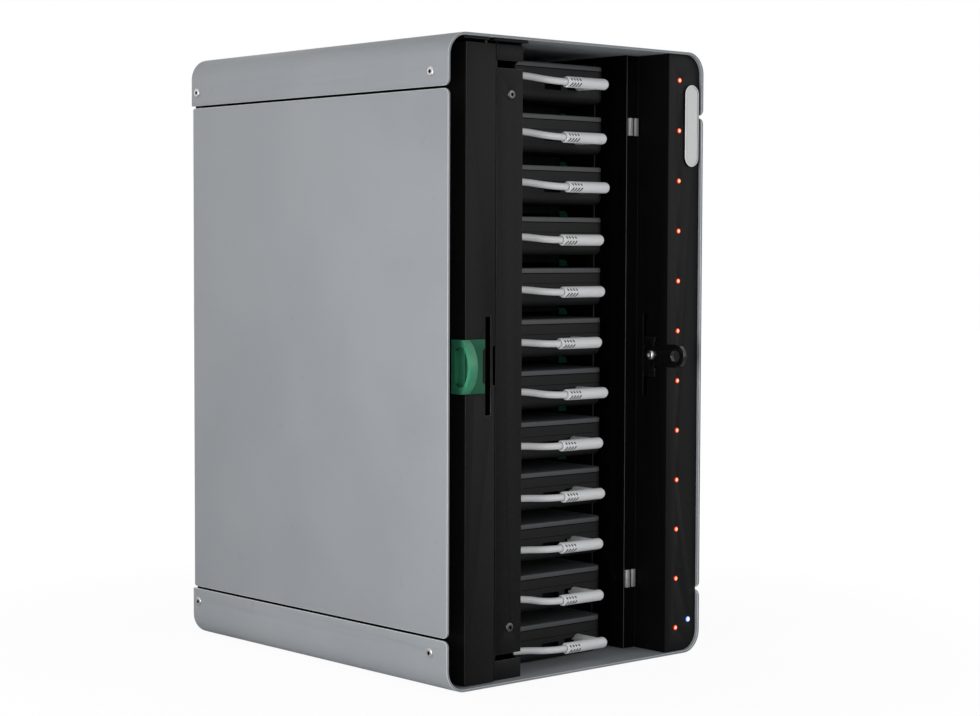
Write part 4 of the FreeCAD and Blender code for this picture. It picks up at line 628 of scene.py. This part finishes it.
# %% Green plastic
green = Paint("green_plastic", Specular_IOR_Level=0.4)
haze = green.noise(9, 3.0)
grain = green.noise(0.55, 2.0, 0.6)
skin = green.blend(haze, (0.045, 0.280, 0.148), (0.064, 0.355, 0.195))
scuff = green.noise(3.2, 4.0, 0.7).between(0.62, 0.78)
skin = green.blend(scuff * 0.25, skin, (0.11, 0.34, 0.22))
green.set("Base Color", skin)
green.set("Roughness", 0.30 + 0.12 * grain)
green.bump(grain, 0.04, 0.5)
finishes["green_plastic"] = green

# Painted highlight: a much lighter green for the pull's bevelled edges.
green_edge_highlight = Paint("green_edge_highlight", Specular_IOR_Level=0.6)
haze = green_edge_highlight.noise(6, 3.0)
skin = green_edge_highlight.blend(haze, (0.13, 0.50, 0.33), (0.19, 0.60, 0.41))
green_edge_highlight.set("Base Color", skin)
green_edge_highlight.set("Roughness", 0.24 + 0.14 * haze)

hollow_green = Paint("hollow_green", Specular_IOR_Level=0.25)
haze = hollow_green.noise(6, 3.0)
skin = hollow_green.blend(haze, (0.008, 0.110, 0.052), (0.014, 0.150, 0.075))
hollow_green.set("Base Color", skin)
hollow_green.set("Roughness", 0.5 + 0.1 * haze)

# Painted shade: a deep green for the bumpers, which sit in the dark between two devices.
tongue_green_painted_shade = Paint("tongue_green_painted_shade", Specular_IOR_Level=0.2)
haze = tongue_green_painted_shade.noise(4, 3.0)
skin = tongue_green_painted_shade.blend(haze, (0.006, 0.085, 0.036), (0.010, 0.125, 0.058))
tongue_green_painted_shade.set("Base Color", skin)
tongue_green_painted_shade.set("Roughness", 0.5 + 0.1 * haze)
finishes["tongue_green_painted_shade"] = tongue_green_painted_shade
print("green plastics ready")

# %% [markdown]
# Screws, magnet plates and the hinge rod are metal: bright zinc, blackened steel and bare
# aluminium differ in colour, in gloss and in how much fine brushing they show. One function
# mixes them all, with noise stretched along the height for the brushing.

# %% Metals
def metal(name, dull, bright, roughness, scratch):
    paint = Paint(name, metallic=1.0)
    cloud = paint.noise(4, 3.0)
    stretch = paint.node(
        "ShaderNodeMapping", None, {"Vector": paint.place(), "Scale": (1, 1, 0.08)}
    )
    brushed = paint.noise(0.5, 2.0, 0.6, stretch)
    paint.set("Base Color", paint.blend(cloud, dull, bright))
    paint.set("Roughness", roughness + scratch * brushed)
    paint.bump(brushed, 0.02, 0.35)
    finishes[name] = paint


metal("bright_steel", (0.52, 0.52, 0.53), (0.72, 0.71, 0.70), 0.20, 0.14)
metal("dark_steel", (0.07, 0.07, 0.074), (0.17, 0.165, 0.16), 0.26, 0.14)
# Painted shade: the guide pin's steel made very dark, because the pin lies in shade.
metal("steel_painted_shade", (0.045, 0.045, 0.048), (0.09, 0.088, 0.085), 0.42, 0.14)
# Painted shade: a near-black steel for the deep faces of the screw sockets.
metal("socket_painted_shade", (0.010, 0.010, 0.010), (0.030, 0.030, 0.030), 0.34, 0.10)
metal("aluminium_case", (0.50, 0.51, 0.53), (0.64, 0.65, 0.67), 0.34, 0.16)

pole = Paint("pole_steel", metallic=0.6)
cloud = pole.noise(6, 2.0)
pole.set("Base Color", pole.blend(cloud, (0.80, 0.79, 0.78), (0.90, 0.89, 0.88)))
pole.set("Roughness", 0.42 + 0.08 * cloud)
finishes["pole_steel"] = pole

plate = Paint("badge_silver", Specular_IOR_Level=0.45)
cloud = plate.noise(9, 2.0)
plate.set("Base Color", plate.blend(cloud, (0.90, 0.90, 0.895), (0.95, 0.95, 0.945)))
plate.set("Roughness", 0.30 + 0.10 * cloud)
finishes["badge_silver"] = plate
print("metals ready")

# %% [markdown]
# Grommets and bushings are matt black rubber, and the magnets behind their plates are dull and dark.
# The circuit boards lie behind the column. A fine brick pattern is enough for the tracks on them.

# %% Rubber, magnet and circuit board
rubber = Paint("black_rubber", roughness=0.7, Specular_IOR_Level=0.3)
dust = rubber.noise(5, 3.0)
rubber.set("Base Color", rubber.blend(dust, (0.012, 0.012, 0.012), (0.026, 0.026, 0.027)))
rubber.bump(rubber.noise(0.6, 2.0), 0.04, 0.5)
finishes["black_rubber"] = rubber

magnet = Paint("magnet_dark", Specular_IOR_Level=0.45)
dust = magnet.noise(2.5, 3.0)
magnet.set("Base Color", magnet.blend(dust, (0.02, 0.02, 0.021), (0.05, 0.05, 0.052)))
magnet.set("Roughness", 0.35 + 0.2 * dust)
finishes["magnet_dark"] = magnet

board = Paint("circuit_board", Specular_IOR_Level=0.5)
lines = board.node(
    "ShaderNodeTexBrick",
    {"offset": 0.5},
    {
        "Vector": board.place(),
        "Scale": 160.0,
        "Color1": (0.012, 0.075, 0.035),
        "Color2": (0.016, 0.095, 0.045),
        "Mortar": (0.03, 0.17, 0.08),
        "Mortar Size": 0.04,
    },
    "Color",
)
board.set("Base Color", lines)
board.set("Roughness", 0.3 + 0.2 * board.noise(3))
finishes["circuit_board"] = board
print("rubber, magnet and board ready")

# %% [markdown]
# A lit indicator is brightest in its middle: the red ones burn out to a pale yellow core and keep
# their colour only at the rim. All lenses share one material, so the distance to the middle is
# taken to the nearest one, with the bays' pitch folded onto itself. The white mains light stands
# alone, so its pitch is far longer than the cabinet.

# %% Lit lenses
LED_X = 303.8
LED_LOW = 26.3
POWER_X = 321.7
POWER_Z = 32.9
GLOW_REACH = 2.6
ALONE = 10.0


def lens_paint(name, across, low, pitch, core, middle, edge):
    """Glows by the distance from the lens's own middle, given by its x, its first z and its pitch."""
    paint = Paint(name, roughness=0.25)
    split = paint.node("ShaderNodeSeparateXYZ", None, {0: paint.place()})
    height = Wire(paint, split.socket.node.outputs["Z"])
    sideways = split - across
    folded = (height - low) / pitch + 0.5
    upward = (folded - folded.floor() - 0.5) * pitch
    distance = (sideways * sideways + upward * upward) ** 0.5 * 1000
    glow = paint.node(
        "ShaderNodeValToRGB",
        {"stops": ((0.0, core), (0.46, core), (0.66, middle), (0.92, edge))},
        {"Fac": distance / GLOW_REACH},
    )
    paint.set("Base Color", edge)
    paint.set("Emission Color", glow)
    paint.set("Emission Strength", 1.0)
    finishes[name] = paint


first_lens = spot(LED_X, 0, LED_LOW)
lens_paint(
    "red_lens",
    across=first_lens.x,
    low=first_lens.z,
    pitch=BAY_PITCH / 1000,
    core=(1.0, 0.80, 0.42),
    middle=(1.0, 0.16, 0.06),
    edge=(0.62, 0.01, 0.008),
)
power_lens = spot(POWER_X, 0, POWER_Z)
lens_paint(
    "white_lens",
    across=power_lens.x,
    low=power_lens.z,
    pitch=ALONE,
    core=(1.0, 1.0, 1.0),
    middle=(0.84, 0.91, 1.0),
    edge=(0.14, 0.32, 0.88),
)
print("lenses ready")

# %% [markdown]
# Every CAD node now gets the finish that the record gives it, and two that lie in shade get painted
# shade: a darker, duller copy of their finish.
# The faces in the plugs' slits were marked by their material number. Clearing the materials resets
# that number, so the marks are read before and set again after.

# %% Finishes on the nodes
slot_of = {row["node"]: row["material_slot"] for row in frame["record"]["subparts"]}


def painted(thing, name):
    thing.data.materials.clear()
    thing.data.materials.append(finishes[name].material)


def marked_painted(thing, name, other):
    """One finish for a piece, and the other for the faces of it that carry a mark."""
    marks = [face.material_index for face in thing.data.polygons]
    painted(thing, name)
    thing.data.materials.append(other.material)
    for face, mark in zip(thing.data.polygons, marks):
        face.material_index = mark


PAINTED_SHADE = {"door_guide_pin": "steel_painted_shade", "shelf_bumpers": "tongue_green_painted_shade"}
for name, node in frame["nodes"].items():
    painted(node, PAINTED_SHADE.get(name, slot_of[name]))
for thing in leads:
    painted(thing, "white_lead")
for thing in plugs:
    marked_painted(thing, "white_lead", slit)
print(len(slot_of), "nodes painted")

# %% [markdown]
# Bent sheet metal has no sharp edges: every cut edge and bend catches a thin line of light.
# A copy of each large sheet gets its loose triangles merged and its flat faces made whole, and
# then a small bevel runs along all its edges, in a lighter finish of its own that is a painted
# highlight. On the right-hand side the caps reach a little further along than on the left, so there
# the joints between caps and panel are moved by that much: the tips of the caps' flanges and the
# two ends of the panel.

# %% Eased sheet metal
SHELL_HEIGHT = 600.0
BEND_ANGLE = 25
LONGER_FLANGE = 12.8
FLANGE_SIDE = 320.0
FLANGE_TIP = 39.5
PANEL_END = 230.0
right_side = spot(FLANGE_SIDE, 0, 0).x
halfway_up = SHELL_HEIGHT / 2000
JOINTS = {
    "top_cap": lambda place: place.x > right_side and place.z < (SHELL_HEIGHT - FLANGE_TIP) / 1000,
    "bottom_cap": lambda place: place.x > right_side and place.z > FLANGE_TIP / 1000,
    "right_side_panel": lambda place: abs(place.z - halfway_up) > PANEL_END / 1000,
}


def eased(node, width, body="cabinet", segments=2, finish=None, edge=None):
    """A copy of a node with small rounded edges, which stands for the node."""
    source = frame["nodes"][node]
    thing = bpy.data.objects.new(node + "_eased", source.data.copy())
    scene.collection.objects.link(thing)
    pick(thing, "VERT", lambda place: True)
    bpy.ops.mesh.remove_doubles(threshold=1e-6)
    bpy.ops.mesh.select_all(action="SELECT")
    bpy.ops.mesh.dissolve_limited(angle_limit=math.radians(0.5))
    done()
    if node in JOINTS:
        for corner in thing.data.vertices:
            if JOINTS[node](corner.co):
                corner.co.z += math.copysign(LONGER_FLANGE / 1000, halfway_up - corner.co.z)
    painted(thing, finish or slot_of[node])
    # The bevel's faces take the edge finish, which is a painted highlight.
    if edge:
        thing.data.materials.append(edge.material)
    modified(
        thing,
        "BEVEL",
        width=width / 1000,
        segments=segments,
        limit_method="ANGLE",
        angle_limit=math.radians(BEND_ANGLE),
        use_clamp_overlap=True,
        harden_normals=False,
        material=1 if edge else -1,
    )
    smooth(thing, 30)
    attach(thing, body)
    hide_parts(node)
    return thing


SHEETS = (
    ("top_cap", 0.45, silver_edge_highlight),
    ("bottom_cap", 0.45, silver_edge_highlight),
    ("left_side_panel", 0.45, silver_edge_highlight),
    ("right_side_panel", 0.45, silver_edge_highlight),
    ("back_panel", 0.3, black_edge_highlight),
    ("cable_post", 0.5, black_edge_highlight),
    ("cable_cover", 0.3, black_edge_highlight),
    ("right_inner_wall", 0.9, lit_edge_highlight),
    ("racks", 0.5, black_edge_highlight),
    ("pocket_wall", 0.3, black_edge_highlight),
)
sheets = {node: eased(node, width, edge=edge) for node, width, edge in SHEETS}
sheets["door_panel"] = eased("door_panel", 0.6, body="door", edge=black_edge_highlight)
for node, sheet in sheets.items():
    print(node, len(sheet.data.polygons), "faces")

# %% [markdown]
# The wall on the right is one sheet that turns from the light column into the rebate and on along the
# bays. Its faces towards the doorway and all that lies past the step take painted shade, a darker
# black, and only the edges there keep the lighter painted highlight.

# %% Shade on the right-hand wall
STEP_PLACE = 283.0
step = spot(STEP_PLACE, 0, 0).x
wall = sheets["right_inner_wall"]
wall.data.materials.append(inner.material)
for face in wall.data.polygons:
    if face.material_index == 1:
        face.material_index = int(face.center.x < step)
    elif face.normal.x < -0.9 or face.center.x < step:
        face.material_index = 2
print(sum(face.material_index == 2 for face in wall.data.polygons), "faces in shade")

# %% [markdown]
# The pull and the hasp are small solid pieces with rounder edges than the sheets, so they take a
# wider bevel of three steps. The pull's finger hole is a hollow behind a curved band. Little light
# gets in, so its walls, found by their place behind the band's arc, get a deeper green.

# %% Pull and hasp
PULL_MIDDLE = 297.1
PULL_AXIS = 26.7
HOLE_RADIUS = 29.4
HOLE_HALF = 17.9
HOLE_BACK = 14.5
LEVEL_SLACK = 0.1
ARC_SLACK = 0.15
BACK_SLACK = 0.2
pull = eased("door_handle", 0.95, body="door", segments=3, edge=green_edge_highlight)
pull.data.materials.append(hollow_green.material)
axis = spot(0, PULL_AXIS, PULL_MIDDLE)
hole_back = spot(0, HOLE_BACK - BACK_SLACK, 0).y
hollow = 0
for face in pull.data.polygons:
    middle = face.center
    level = abs(middle.z - axis.z) < (HOLE_HALF + LEVEL_SLACK) / 1000
    behind_arc = math.hypot(middle.y - axis.y, middle.z - axis.z) < (HOLE_RADIUS + ARC_SLACK) / 1000
    inside = level and behind_arc and middle.y < hole_back and abs(face.normal.x) < 0.5
    if inside and face.material_index == 0:
        face.material_index = 2
        hollow += 1
print(hollow, "faces in the finger hole")
hasp = eased("hasp", 0.5, segments=3, finish="black_gloss", edge=black_edge_highlight)
eased("magnet_poles", 0.25, finish="pole_steel")
eased("magnet_cores", 0.25)
print("pull", len(pull.data.polygons), "hasp", len(hasp.data.polygons), "faces")

# %% [markdown]
# The shell is held by button-head screws. One is modelled: a short cylinder with a domed rim and a
# six-sided socket cut into it, because the way such a socket catches the light gives its size away.
# The others are copies, turned over for the right-hand side.

# %% One button-head screw
DOME_SHARE = 0.8
SOCKET_LIP = 0.05


def button_head(name, radius, height, socket, depth):
    """A screw head that lies in the plane x = 0 and points to -x."""
    bpy.ops.mesh.primitive_cylinder_add(
        vertices=48,
        radius=radius / 1000,
        depth=height / 1000,
        location=(-height / 2000, 0, 0),
        rotation=(0, math.radians(90), 0),
    )
    head = started(name)
    outer = -height / 1000
    pick(head, "EDGE", lambda a, b: same(a.x, outer, 1e-6) and same(b.x, outer, 1e-6))
    bpy.ops.mesh.bevel(offset=DOME_SHARE * height / 1000, segments=6, profile=0.5)
    done()
    bpy.ops.mesh.primitive_cylinder_add(
        vertices=6,
        radius=socket / 1000,
        depth=2 * depth / 1000,
        location=(outer, 0, 0),
        rotation=(0, math.radians(90), 0),
    )
    key = started("key")
    modified(head, "BOOLEAN", object=key, operation="DIFFERENCE", solver="EXACT")
    bpy.data.objects.remove(key)
    # The socket's deep faces are marked for painted shade, a near-black steel.
    for face in head.data.polygons:
        deep = face.center.x > outer + SOCKET_LIP / 1000
        face.material_index = int(deep and math.hypot(face.center.y, face.center.z) < socket / 1000)
    return smooth(head, 40)


screw = button_head("shell_screw", radius=4.6, height=1.4, socket=2.0, depth=1.1)
print("screw head", len(screw.data.polygons), "faces")

# %% Shell screws
SCREW_DEPTHS = (24.3, 399.7)
SCREW_HEIGHTS = (35.3, 564.7)
count = 0
for y in SCREW_DEPTHS:
    for z in SCREW_HEIGHTS:
        for x, turned in ((0.0, False), (SHELL_WIDTH, True)):
            count += 1
            head = copied(screw, f"shell_screw_{count}", (0, 0, 0))
            if turned:
                head.data.transform(Matrix.Rotation(math.pi, 4, "Z"))
            head.data.transform(Matrix.Translation(spot(x, y, z)))
            marked_painted(head, "bright_steel", finishes["socket_painted_shade"])
            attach(head, "cabinet")
            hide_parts("shell_screws")
bpy.data.objects.remove(screw)
print(count, "shell screws")

# %% [markdown]
# The cover over the leads is held by two darker screws, and the hasp by a bright button bolt.
# They are the same kind of head at other sizes, turned to face forward or into the doorway.

# %% Cover screws
COVER_SCREW_PLACE = 86.7
COVER_FACE = 12.2
COVER_SCREW_HEIGHTS = (50.7, 547.5)
to_front = Matrix.Rotation(math.radians(90), 4, "Z")
for count, z in enumerate(COVER_SCREW_HEIGHTS, start=1):
    head = button_head(f"cover_screw_{count}", radius=4.6, height=2.0, socket=2.0, depth=1.3)
    head.data.transform(to_front)
    head.data.transform(Matrix.Translation(spot(COVER_SCREW_PLACE, COVER_FACE, z)))
    marked_painted(head, "dark_steel", finishes["socket_painted_shade"])
    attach(head, "cabinet")
    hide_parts("cover_screws")
print(count, "cover screws")

# %% Hasp bolt
HASP_FACE = 285.0
BOLT_DEPTH = 22.1
BOLT_HEIGHT = 299.8
SHANK_RADIUS = 2.4
SHANK_ROUNDING = 0.4
bolt = button_head("hasp_bolt_head", radius=5.1, height=2.9, socket=1.9, depth=1.6)
bolt_face = spot(HASP_FACE, BOLT_DEPTH, BOLT_HEIGHT)
low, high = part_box("hasp_bolt")
shank_length = high[0] - bolt_face.x
bolt.data.transform(Matrix.Translation(bolt_face))
bpy.ops.object.select_all(action="DESELECT")
bpy.ops.mesh.primitive_cylinder_add(
    vertices=32,
    radius=SHANK_RADIUS / 1000,
    depth=shank_length,
    location=(bolt_face.x + shank_length / 2, bolt_face.y, bolt_face.z),
    rotation=(0, math.radians(90), 0),
)
shank = started("shank")
modified(shank, "BEVEL", width=SHANK_ROUNDING / 1000, segments=2)
only(bolt)
shank.select_set(True)
bpy.ops.object.join()
bolt = bpy.context.active_object
marked_painted(bolt, "bright_steel", finishes["socket_painted_shade"])
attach(bolt, "cabinet")
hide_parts("hasp_bolt")
print("hasp bolt", round(shank_length * 1000, 1), "mm long")

# %% [markdown]
# An indicator is a small domed lens that stands just proud of the column. It starts as a cylinder
# whose front rim is rounded over almost to the column, which makes a dome with few faces. The red
# ones are copies, one for each bay.

# %% Indicator lenses
COLUMN_FACE = 3.4
LENS_BODY = 6.0
LENS_DOME_SHARE = 0.9


def lens_shape(name, radius, proud, x, z):
    bpy.ops.mesh.primitive_cylinder_add(
        vertices=40,
        radius=radius / 1000,
        depth=(proud + LENS_BODY) / 1000,
        location=spot(x, COLUMN_FACE + (LENS_BODY - proud) / 2, z),
        rotation=(math.radians(90), 0, 0),
    )
    bulb = started(name)
    tip = spot(x, COLUMN_FACE - proud, z).y
    pick(bulb, "EDGE", lambda a, b: same(a.y, tip) and same(b.y, tip))
    bpy.ops.mesh.bevel(offset=LENS_DOME_SHARE * proud / 1000, segments=5)
    done()
    return smooth(bulb, 50)


lamp = lens_shape("lamp", radius=2.5, proud=0.5, x=LED_X, z=LED_LOW)
for n in range(BAYS):
    bulb = copied(lamp, f"status_lens_{n + 1:02d}", (0, 0, n * BAY_PITCH / 1000))
    painted(bulb, "red_lens")
    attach(bulb, "cabinet")
    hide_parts("status_leds")
bpy.data.objects.remove(lamp)
bulb = lens_shape("power_lens", radius=2.7, proud=0.9, x=POWER_X, z=POWER_Z)
painted(bulb, "white_lens")
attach(bulb, "cabinet")
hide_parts("power_led")
print(BAYS + 1, "lenses")

# %% [markdown]
# The plate on the light column is a long pill with a raised rim. It is left blank. It starts as a
# disc whose upper half is pulled up, so that both ends stay truly round, and an inset and an extrusion
# make the rim.

# %% Blank badge
BADGE_RADIUS = 9.75
BADGE_MIDDLE_X = 319.85
BADGE_LOW = 487.0
BADGE_HEIGHT = 81.0
BADGE_THICK = 2.5
BADGE_ROUNDING = 0.8
RIM_WIDTH = 0.9
RIM_DEPTH = 0.4
RIM_SLOPE = 0.3
bpy.ops.mesh.primitive_cylinder_add(
    vertices=64,
    radius=BADGE_RADIUS / 1000,
    depth=BADGE_THICK / 1000,
    location=spot(BADGE_MIDDLE_X, COLUMN_FACE - BADGE_THICK / 2, BADGE_LOW + BADGE_RADIUS),
    rotation=(math.radians(90), 0, 0),
)
badge = started("badge_blank")
half = (BADGE_LOW + BADGE_RADIUS) / 1000
pick(badge, "VERT", lambda place: place.z > half + 1e-6)
stretch = (BADGE_HEIGHT - 2 * BADGE_RADIUS) / 1000
bpy.ops.transform.translate(value=(0, 0, stretch))
done()
badge_front = spot(0, COLUMN_FACE - BADGE_THICK, 0).y
pick(badge, "EDGE", lambda a, b: same(a.y, badge_front) and same(b.y, badge_front))
bpy.ops.mesh.bevel(offset=BADGE_ROUNDING / 1000, segments=4)
done()
pick(badge, "FACE", lambda middle, normal: normal.y < -0.99 and same(middle.y, badge_front))
bpy.ops.mesh.inset(thickness=RIM_WIDTH / 1000)
bpy.ops.mesh.extrude_region_move(TRANSFORM_OT_translate={"value": (0, RIM_DEPTH / 1000, 0)})
bpy.ops.mesh.inset(thickness=RIM_SLOPE / 1000)
done()
smooth(badge, 30)
painted(badge, "badge_silver")
badge.data.materials.append(finishes["black_gloss"].material)
for face in badge.data.polygons:
    face.material_index = int(face.normal.y > -0.3)
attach(badge, "cabinet")
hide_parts("badge_plate")
print("badge", len(badge.data.polygons), "faces")

# %% [markdown]
# A docked device shows its short side: a body with well rounded corners, a lid with a greyer rim
# that is also painted highlight, and a thin groove between them. One is modelled from a block, by
# beveling its upright edges and its underside, and sinking the grooves. The others are copies.

# %% Device: the body
DEVICE_LEFT = 88.0
DEVICE_RIGHT = 251.4
DEVICE_BACK = 330.0
THICK = 36.8
LID = 4.6
CORNER_ROUNDING = 11.0
UNDERSIDE_ROUNDING = 6.5
LID_ROUNDING = 1.2
device_middle = spot((DEVICE_LEFT + DEVICE_RIGHT) / 2, (DEVICE_FRONT + DEVICE_BACK) / 2, THICK / 2)
bpy.ops.mesh.primitive_cube_add(size=1, location=device_middle)
device = bpy.context.active_object
device.scale = (
    (DEVICE_RIGHT - DEVICE_LEFT) / 1000,
    (DEVICE_BACK - DEVICE_FRONT) / 1000,
    THICK / 1000,
)
device = started("device_master")
pick(device, "EDGE", lambda a, b: same(a.x, b.x) and same(a.y, b.y))
bpy.ops.mesh.bevel(offset=CORNER_ROUNDING / 1000, segments=10)
done()
pick(device, "EDGE", lambda a, b: same(a.z, 0) and same(b.z, 0))
bpy.ops.mesh.bevel(offset=UNDERSIDE_ROUNDING / 1000, segments=6)
done()
pick(device, "EDGE", lambda a, b: same(a.z, THICK / 1000) and same(b.z, THICK / 1000))
bpy.ops.mesh.bevel(offset=LID_ROUNDING / 1000, segments=3)
done()
print("device body", len(device.data.polygons), "faces")

# %% Device: the grooves
def groove(thing, top, width, depth):
    """Sinks a band all round the upright sides, top millimetres above the device's underside."""
    for height in (top, top - width):
        pick(thing, "FACE", lambda middle, normal: True)
        bpy.ops.mesh.bisect(plane_co=(0, 0, height / 1000), plane_no=(0, 0, 1))
        done()
    low, high = (top - width) / 1000, top / 1000
    pick(thing, "FACE", lambda middle, normal: abs(normal.z) < 0.1 and low < middle.z < high)
    bpy.ops.mesh.extrude_region_shrink_fatten(TRANSFORM_OT_shrink_fatten={"value": -depth / 1000})
    done()


SEAM_DROP = 14.5
GROOVES = ((THICK - LID, 0.9, 0.7), (THICK - SEAM_DROP, 0.45, 0.35))
for top, width, depth in GROOVES:
    groove(device, top, width, depth)
print("with grooves", len(device.data.polygons), "faces")

# %% [markdown]
# Two ports are cut into the front: one takes the plug, and a lower one beside it is free. They are
# given by their left and right ends, the height of their middle and half their own height.

# %% Device: the ports
PORTS = ((198.4, 223.4, 14.8, 3.2), (168.5, 190.5, 13.8, 2.8))
PORT_DEPTH = 6.0
PORT_ROUNDING = 0.9
for left, right, height, half in PORTS:
    bpy.ops.mesh.primitive_cube_add(size=1, location=spot((left + right) / 2, DEVICE_FRONT, height))
    port = bpy.context.active_object
    port.scale = ((right - left) / 1000, 2 * PORT_DEPTH / 1000, 2 * half / 1000)
    port = started("port")
    modified(port, "BEVEL", width=PORT_ROUNDING / 1000, segments=3)
    modified(device, "BOOLEAN", object=port, operation="DIFFERENCE", solver="EXACT")
    bpy.data.objects.remove(port)
smooth(device, 30)
print("with ports", len(device.data.polygons), "faces")

# %% Device: rim, grooves and ports in their finishes
SLACK = 0.01
PORT_LIP = 0.3
PORT_SLACK = 0.5
PORTS_FROM = 10.0
PORTS_TO = 20.0


def in_groove(place):
    level = place.z * 1000
    return any(abs(level - (top - width / 2)) < width / 2 + SLACK for top, width, depth in GROOVES)


def in_port(place):
    depth = (place.y - spot(0, DEVICE_FRONT, 0).y) * 1000
    deep = PORT_LIP < depth < PORT_DEPTH + PORT_SLACK
    level = PORTS_FROM < place.z * 1000 < PORTS_TO
    across = (place.x - spot(0, 0, 0).x) * 1000
    beside = any(left - SLACK < across < right + SLACK for left, right, height, half in PORTS)
    return deep and level and beside


painted(device, "black_plastic")
device.data.materials.append(rim.material)
device.data.materials.append(seam.material)
lid_line = (THICK - LID - SLACK) / 1000
for face in device.data.polygons:
    if in_groove(face.center) or in_port(face.center):
        face.material_index = 2
    elif face.center.z > lid_line:
        face.material_index = 1
shaded = sum(face.material_index == 2 for face in device.data.polygons)
print(shaded, "faces in grooves and ports")

# %% Devices in their bays
for n in range(BAYS):
    twin = copied(device, f"docked_device_{n + 1:02d}", (0, 0, bay_floor(n) / 1000))
    smooth(twin, 30)
    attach(twin, "cabinet")
    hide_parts(f"device_{n + 1:02d}")
bpy.data.objects.remove(device)
print(BAYS, "devices")

# %% [markdown]
# The studio is white all round, with no line between floor and background. The floor is a pale
# disc that still takes the cabinet's soft shadow. To the camera it is mostly a plain white glow,
# and all of it from some way off, so that its rim can't be seen.

# %% Floor
FLOOR_RADIUS = 9
FLOOR_GLOW = 1.04
GLOW_SHARES = (0.90, 1.0)
GLOW_DISTANCES = (0.25, 1.2)
bpy.ops.object.select_all(action="DESELECT")
bpy.ops.mesh.primitive_circle_add(vertices=96, radius=FLOOR_RADIUS, fill_type="NGON", location=(0, 0, 0))
ground = started("floor")
paint = bpy.data.materials.new("pale_floor")
paint.use_nodes = True
tree = paint.node_tree
matt = tree.nodes["Principled BSDF"]
matt.inputs["Base Color"].default_value = (0.86, 0.86, 0.86, 1)
matt.inputs["Roughness"].default_value = 0.9
lit = tree.nodes.new("ShaderNodeEmission")
lit.inputs["Color"].default_value = (1, 1, 1, 1)
lit.inputs["Strength"].default_value = FLOOR_GLOW
rays = tree.nodes.new("ShaderNodeLightPath")
mix = tree.nodes.new("ShaderNodeMixShader")
where = tree.nodes.new("ShaderNodeTexCoord")
distance = tree.nodes.new("ShaderNodeVectorMath")
distance.operation = "LENGTH"
tree.links.new(where.outputs["Object"], distance.inputs[0])
share = tree.nodes.new("ShaderNodeMapRange")
share.interpolation_type = "SMOOTHSTEP"
share.inputs["From Min"].default_value = GLOW_DISTANCES[0]
share.inputs["From Max"].default_value = GLOW_DISTANCES[1]
share.inputs["To Min"].default_value = GLOW_SHARES[0]
share.inputs["To Max"].default_value = GLOW_SHARES[1]
tree.links.new(distance.outputs["Value"], share.inputs["Value"])
glow_share = tree.nodes.new("ShaderNodeMath")
glow_share.operation = "MULTIPLY"
tree.links.new(rays.outputs["Is Camera Ray"], glow_share.inputs[0])
tree.links.new(share.outputs["Result"], glow_share.inputs[1])
tree.links.new(glow_share.outputs[0], mix.inputs[0])
tree.links.new(matt.outputs[0], mix.inputs[1])
tree.links.new(lit.outputs[0], mix.inputs[2])
tree.links.new(mix.outputs[0], tree.nodes["Material Output"].inputs["Surface"])
ground.data.materials.append(paint)
print("floor", 2 * FLOOR_RADIUS, "m across")

# %% [markdown]
# The world lights the cabinet with a faint cool sky, and shows as plain white to the camera, in
# mirrored light and through clear things.

# %% Background
SKY_LIGHT = 0.33
world = bpy.data.worlds.new("studio")
world.use_nodes = True
scene.world = world
tree = world.node_tree
tree.nodes.clear()
rays = tree.nodes.new("ShaderNodeLightPath")
seen = tree.nodes.new("ShaderNodeMath")
seen.operation = "MAXIMUM"
seen_too = tree.nodes.new("ShaderNodeMath")
seen_too.operation = "MAXIMUM"
shown = tree.nodes.new("ShaderNodeBackground")
shown.inputs["Color"].default_value = (1, 1, 1, 1)
shown.inputs["Strength"].default_value = 1.0
light = tree.nodes.new("ShaderNodeBackground")
light.inputs["Color"].default_value = (0.97, 0.985, 1, 1)
light.inputs["Strength"].default_value = SKY_LIGHT
mix = tree.nodes.new("ShaderNodeMixShader")
out = tree.nodes.new("ShaderNodeOutputWorld")
tree.links.new(rays.outputs["Is Camera Ray"], seen.inputs[0])
tree.links.new(rays.outputs["Is Glossy Ray"], seen.inputs[1])
tree.links.new(seen.outputs[0], seen_too.inputs[0])
tree.links.new(rays.outputs["Is Transmission Ray"], seen_too.inputs[1])
tree.links.new(seen_too.outputs[0], mix.inputs[0])
tree.links.new(light.outputs[0], mix.inputs[1])
tree.links.new(shown.outputs[0], mix.inputs[2])
tree.links.new(mix.outputs[0], out.inputs["Surface"])
print("white studio")

# %% [markdown]
# Soft lamps light the cabinet: two on the left, one of them near the floor, that model the side
# and the corner rounding, and one farther off at the front right that lifts the black faces.

# %% Lamps
def soft_lamp(name, place, aim, size, power):
    glow = bpy.data.lights.new(name, "AREA")
    glow.shape = "SQUARE"
    glow.size = size
    glow.energy = power
    lamp = bpy.data.objects.new(name, glow)
    scene.collection.objects.link(lamp)
    lamp.location = place
    lamp.rotation_euler = (Vector(aim) - Vector(place)).to_track_quat("-Z", "Y").to_euler()


soft_lamp("left_lamp", place=(-1.8, -0.46, 0.36), aim=(0, 0, 0.14), size=1.0, power=8.4)
soft_lamp("low_lamp", place=(-1.42, -0.38, 0.24), aim=(-0.17, -0.15, 0.10), size=0.46, power=6.5)
soft_lamp("right_lamp", place=(1.3, -2.5, 0.9), aim=(0, 0, 0.3), size=1.2, power=9.3)
scene.view_settings.view_transform = "Standard"
print("lamps on")

# %% [markdown]
# Last, the view layer is brought up to date.

# %% Finish
bpy.context.view_layer.update()
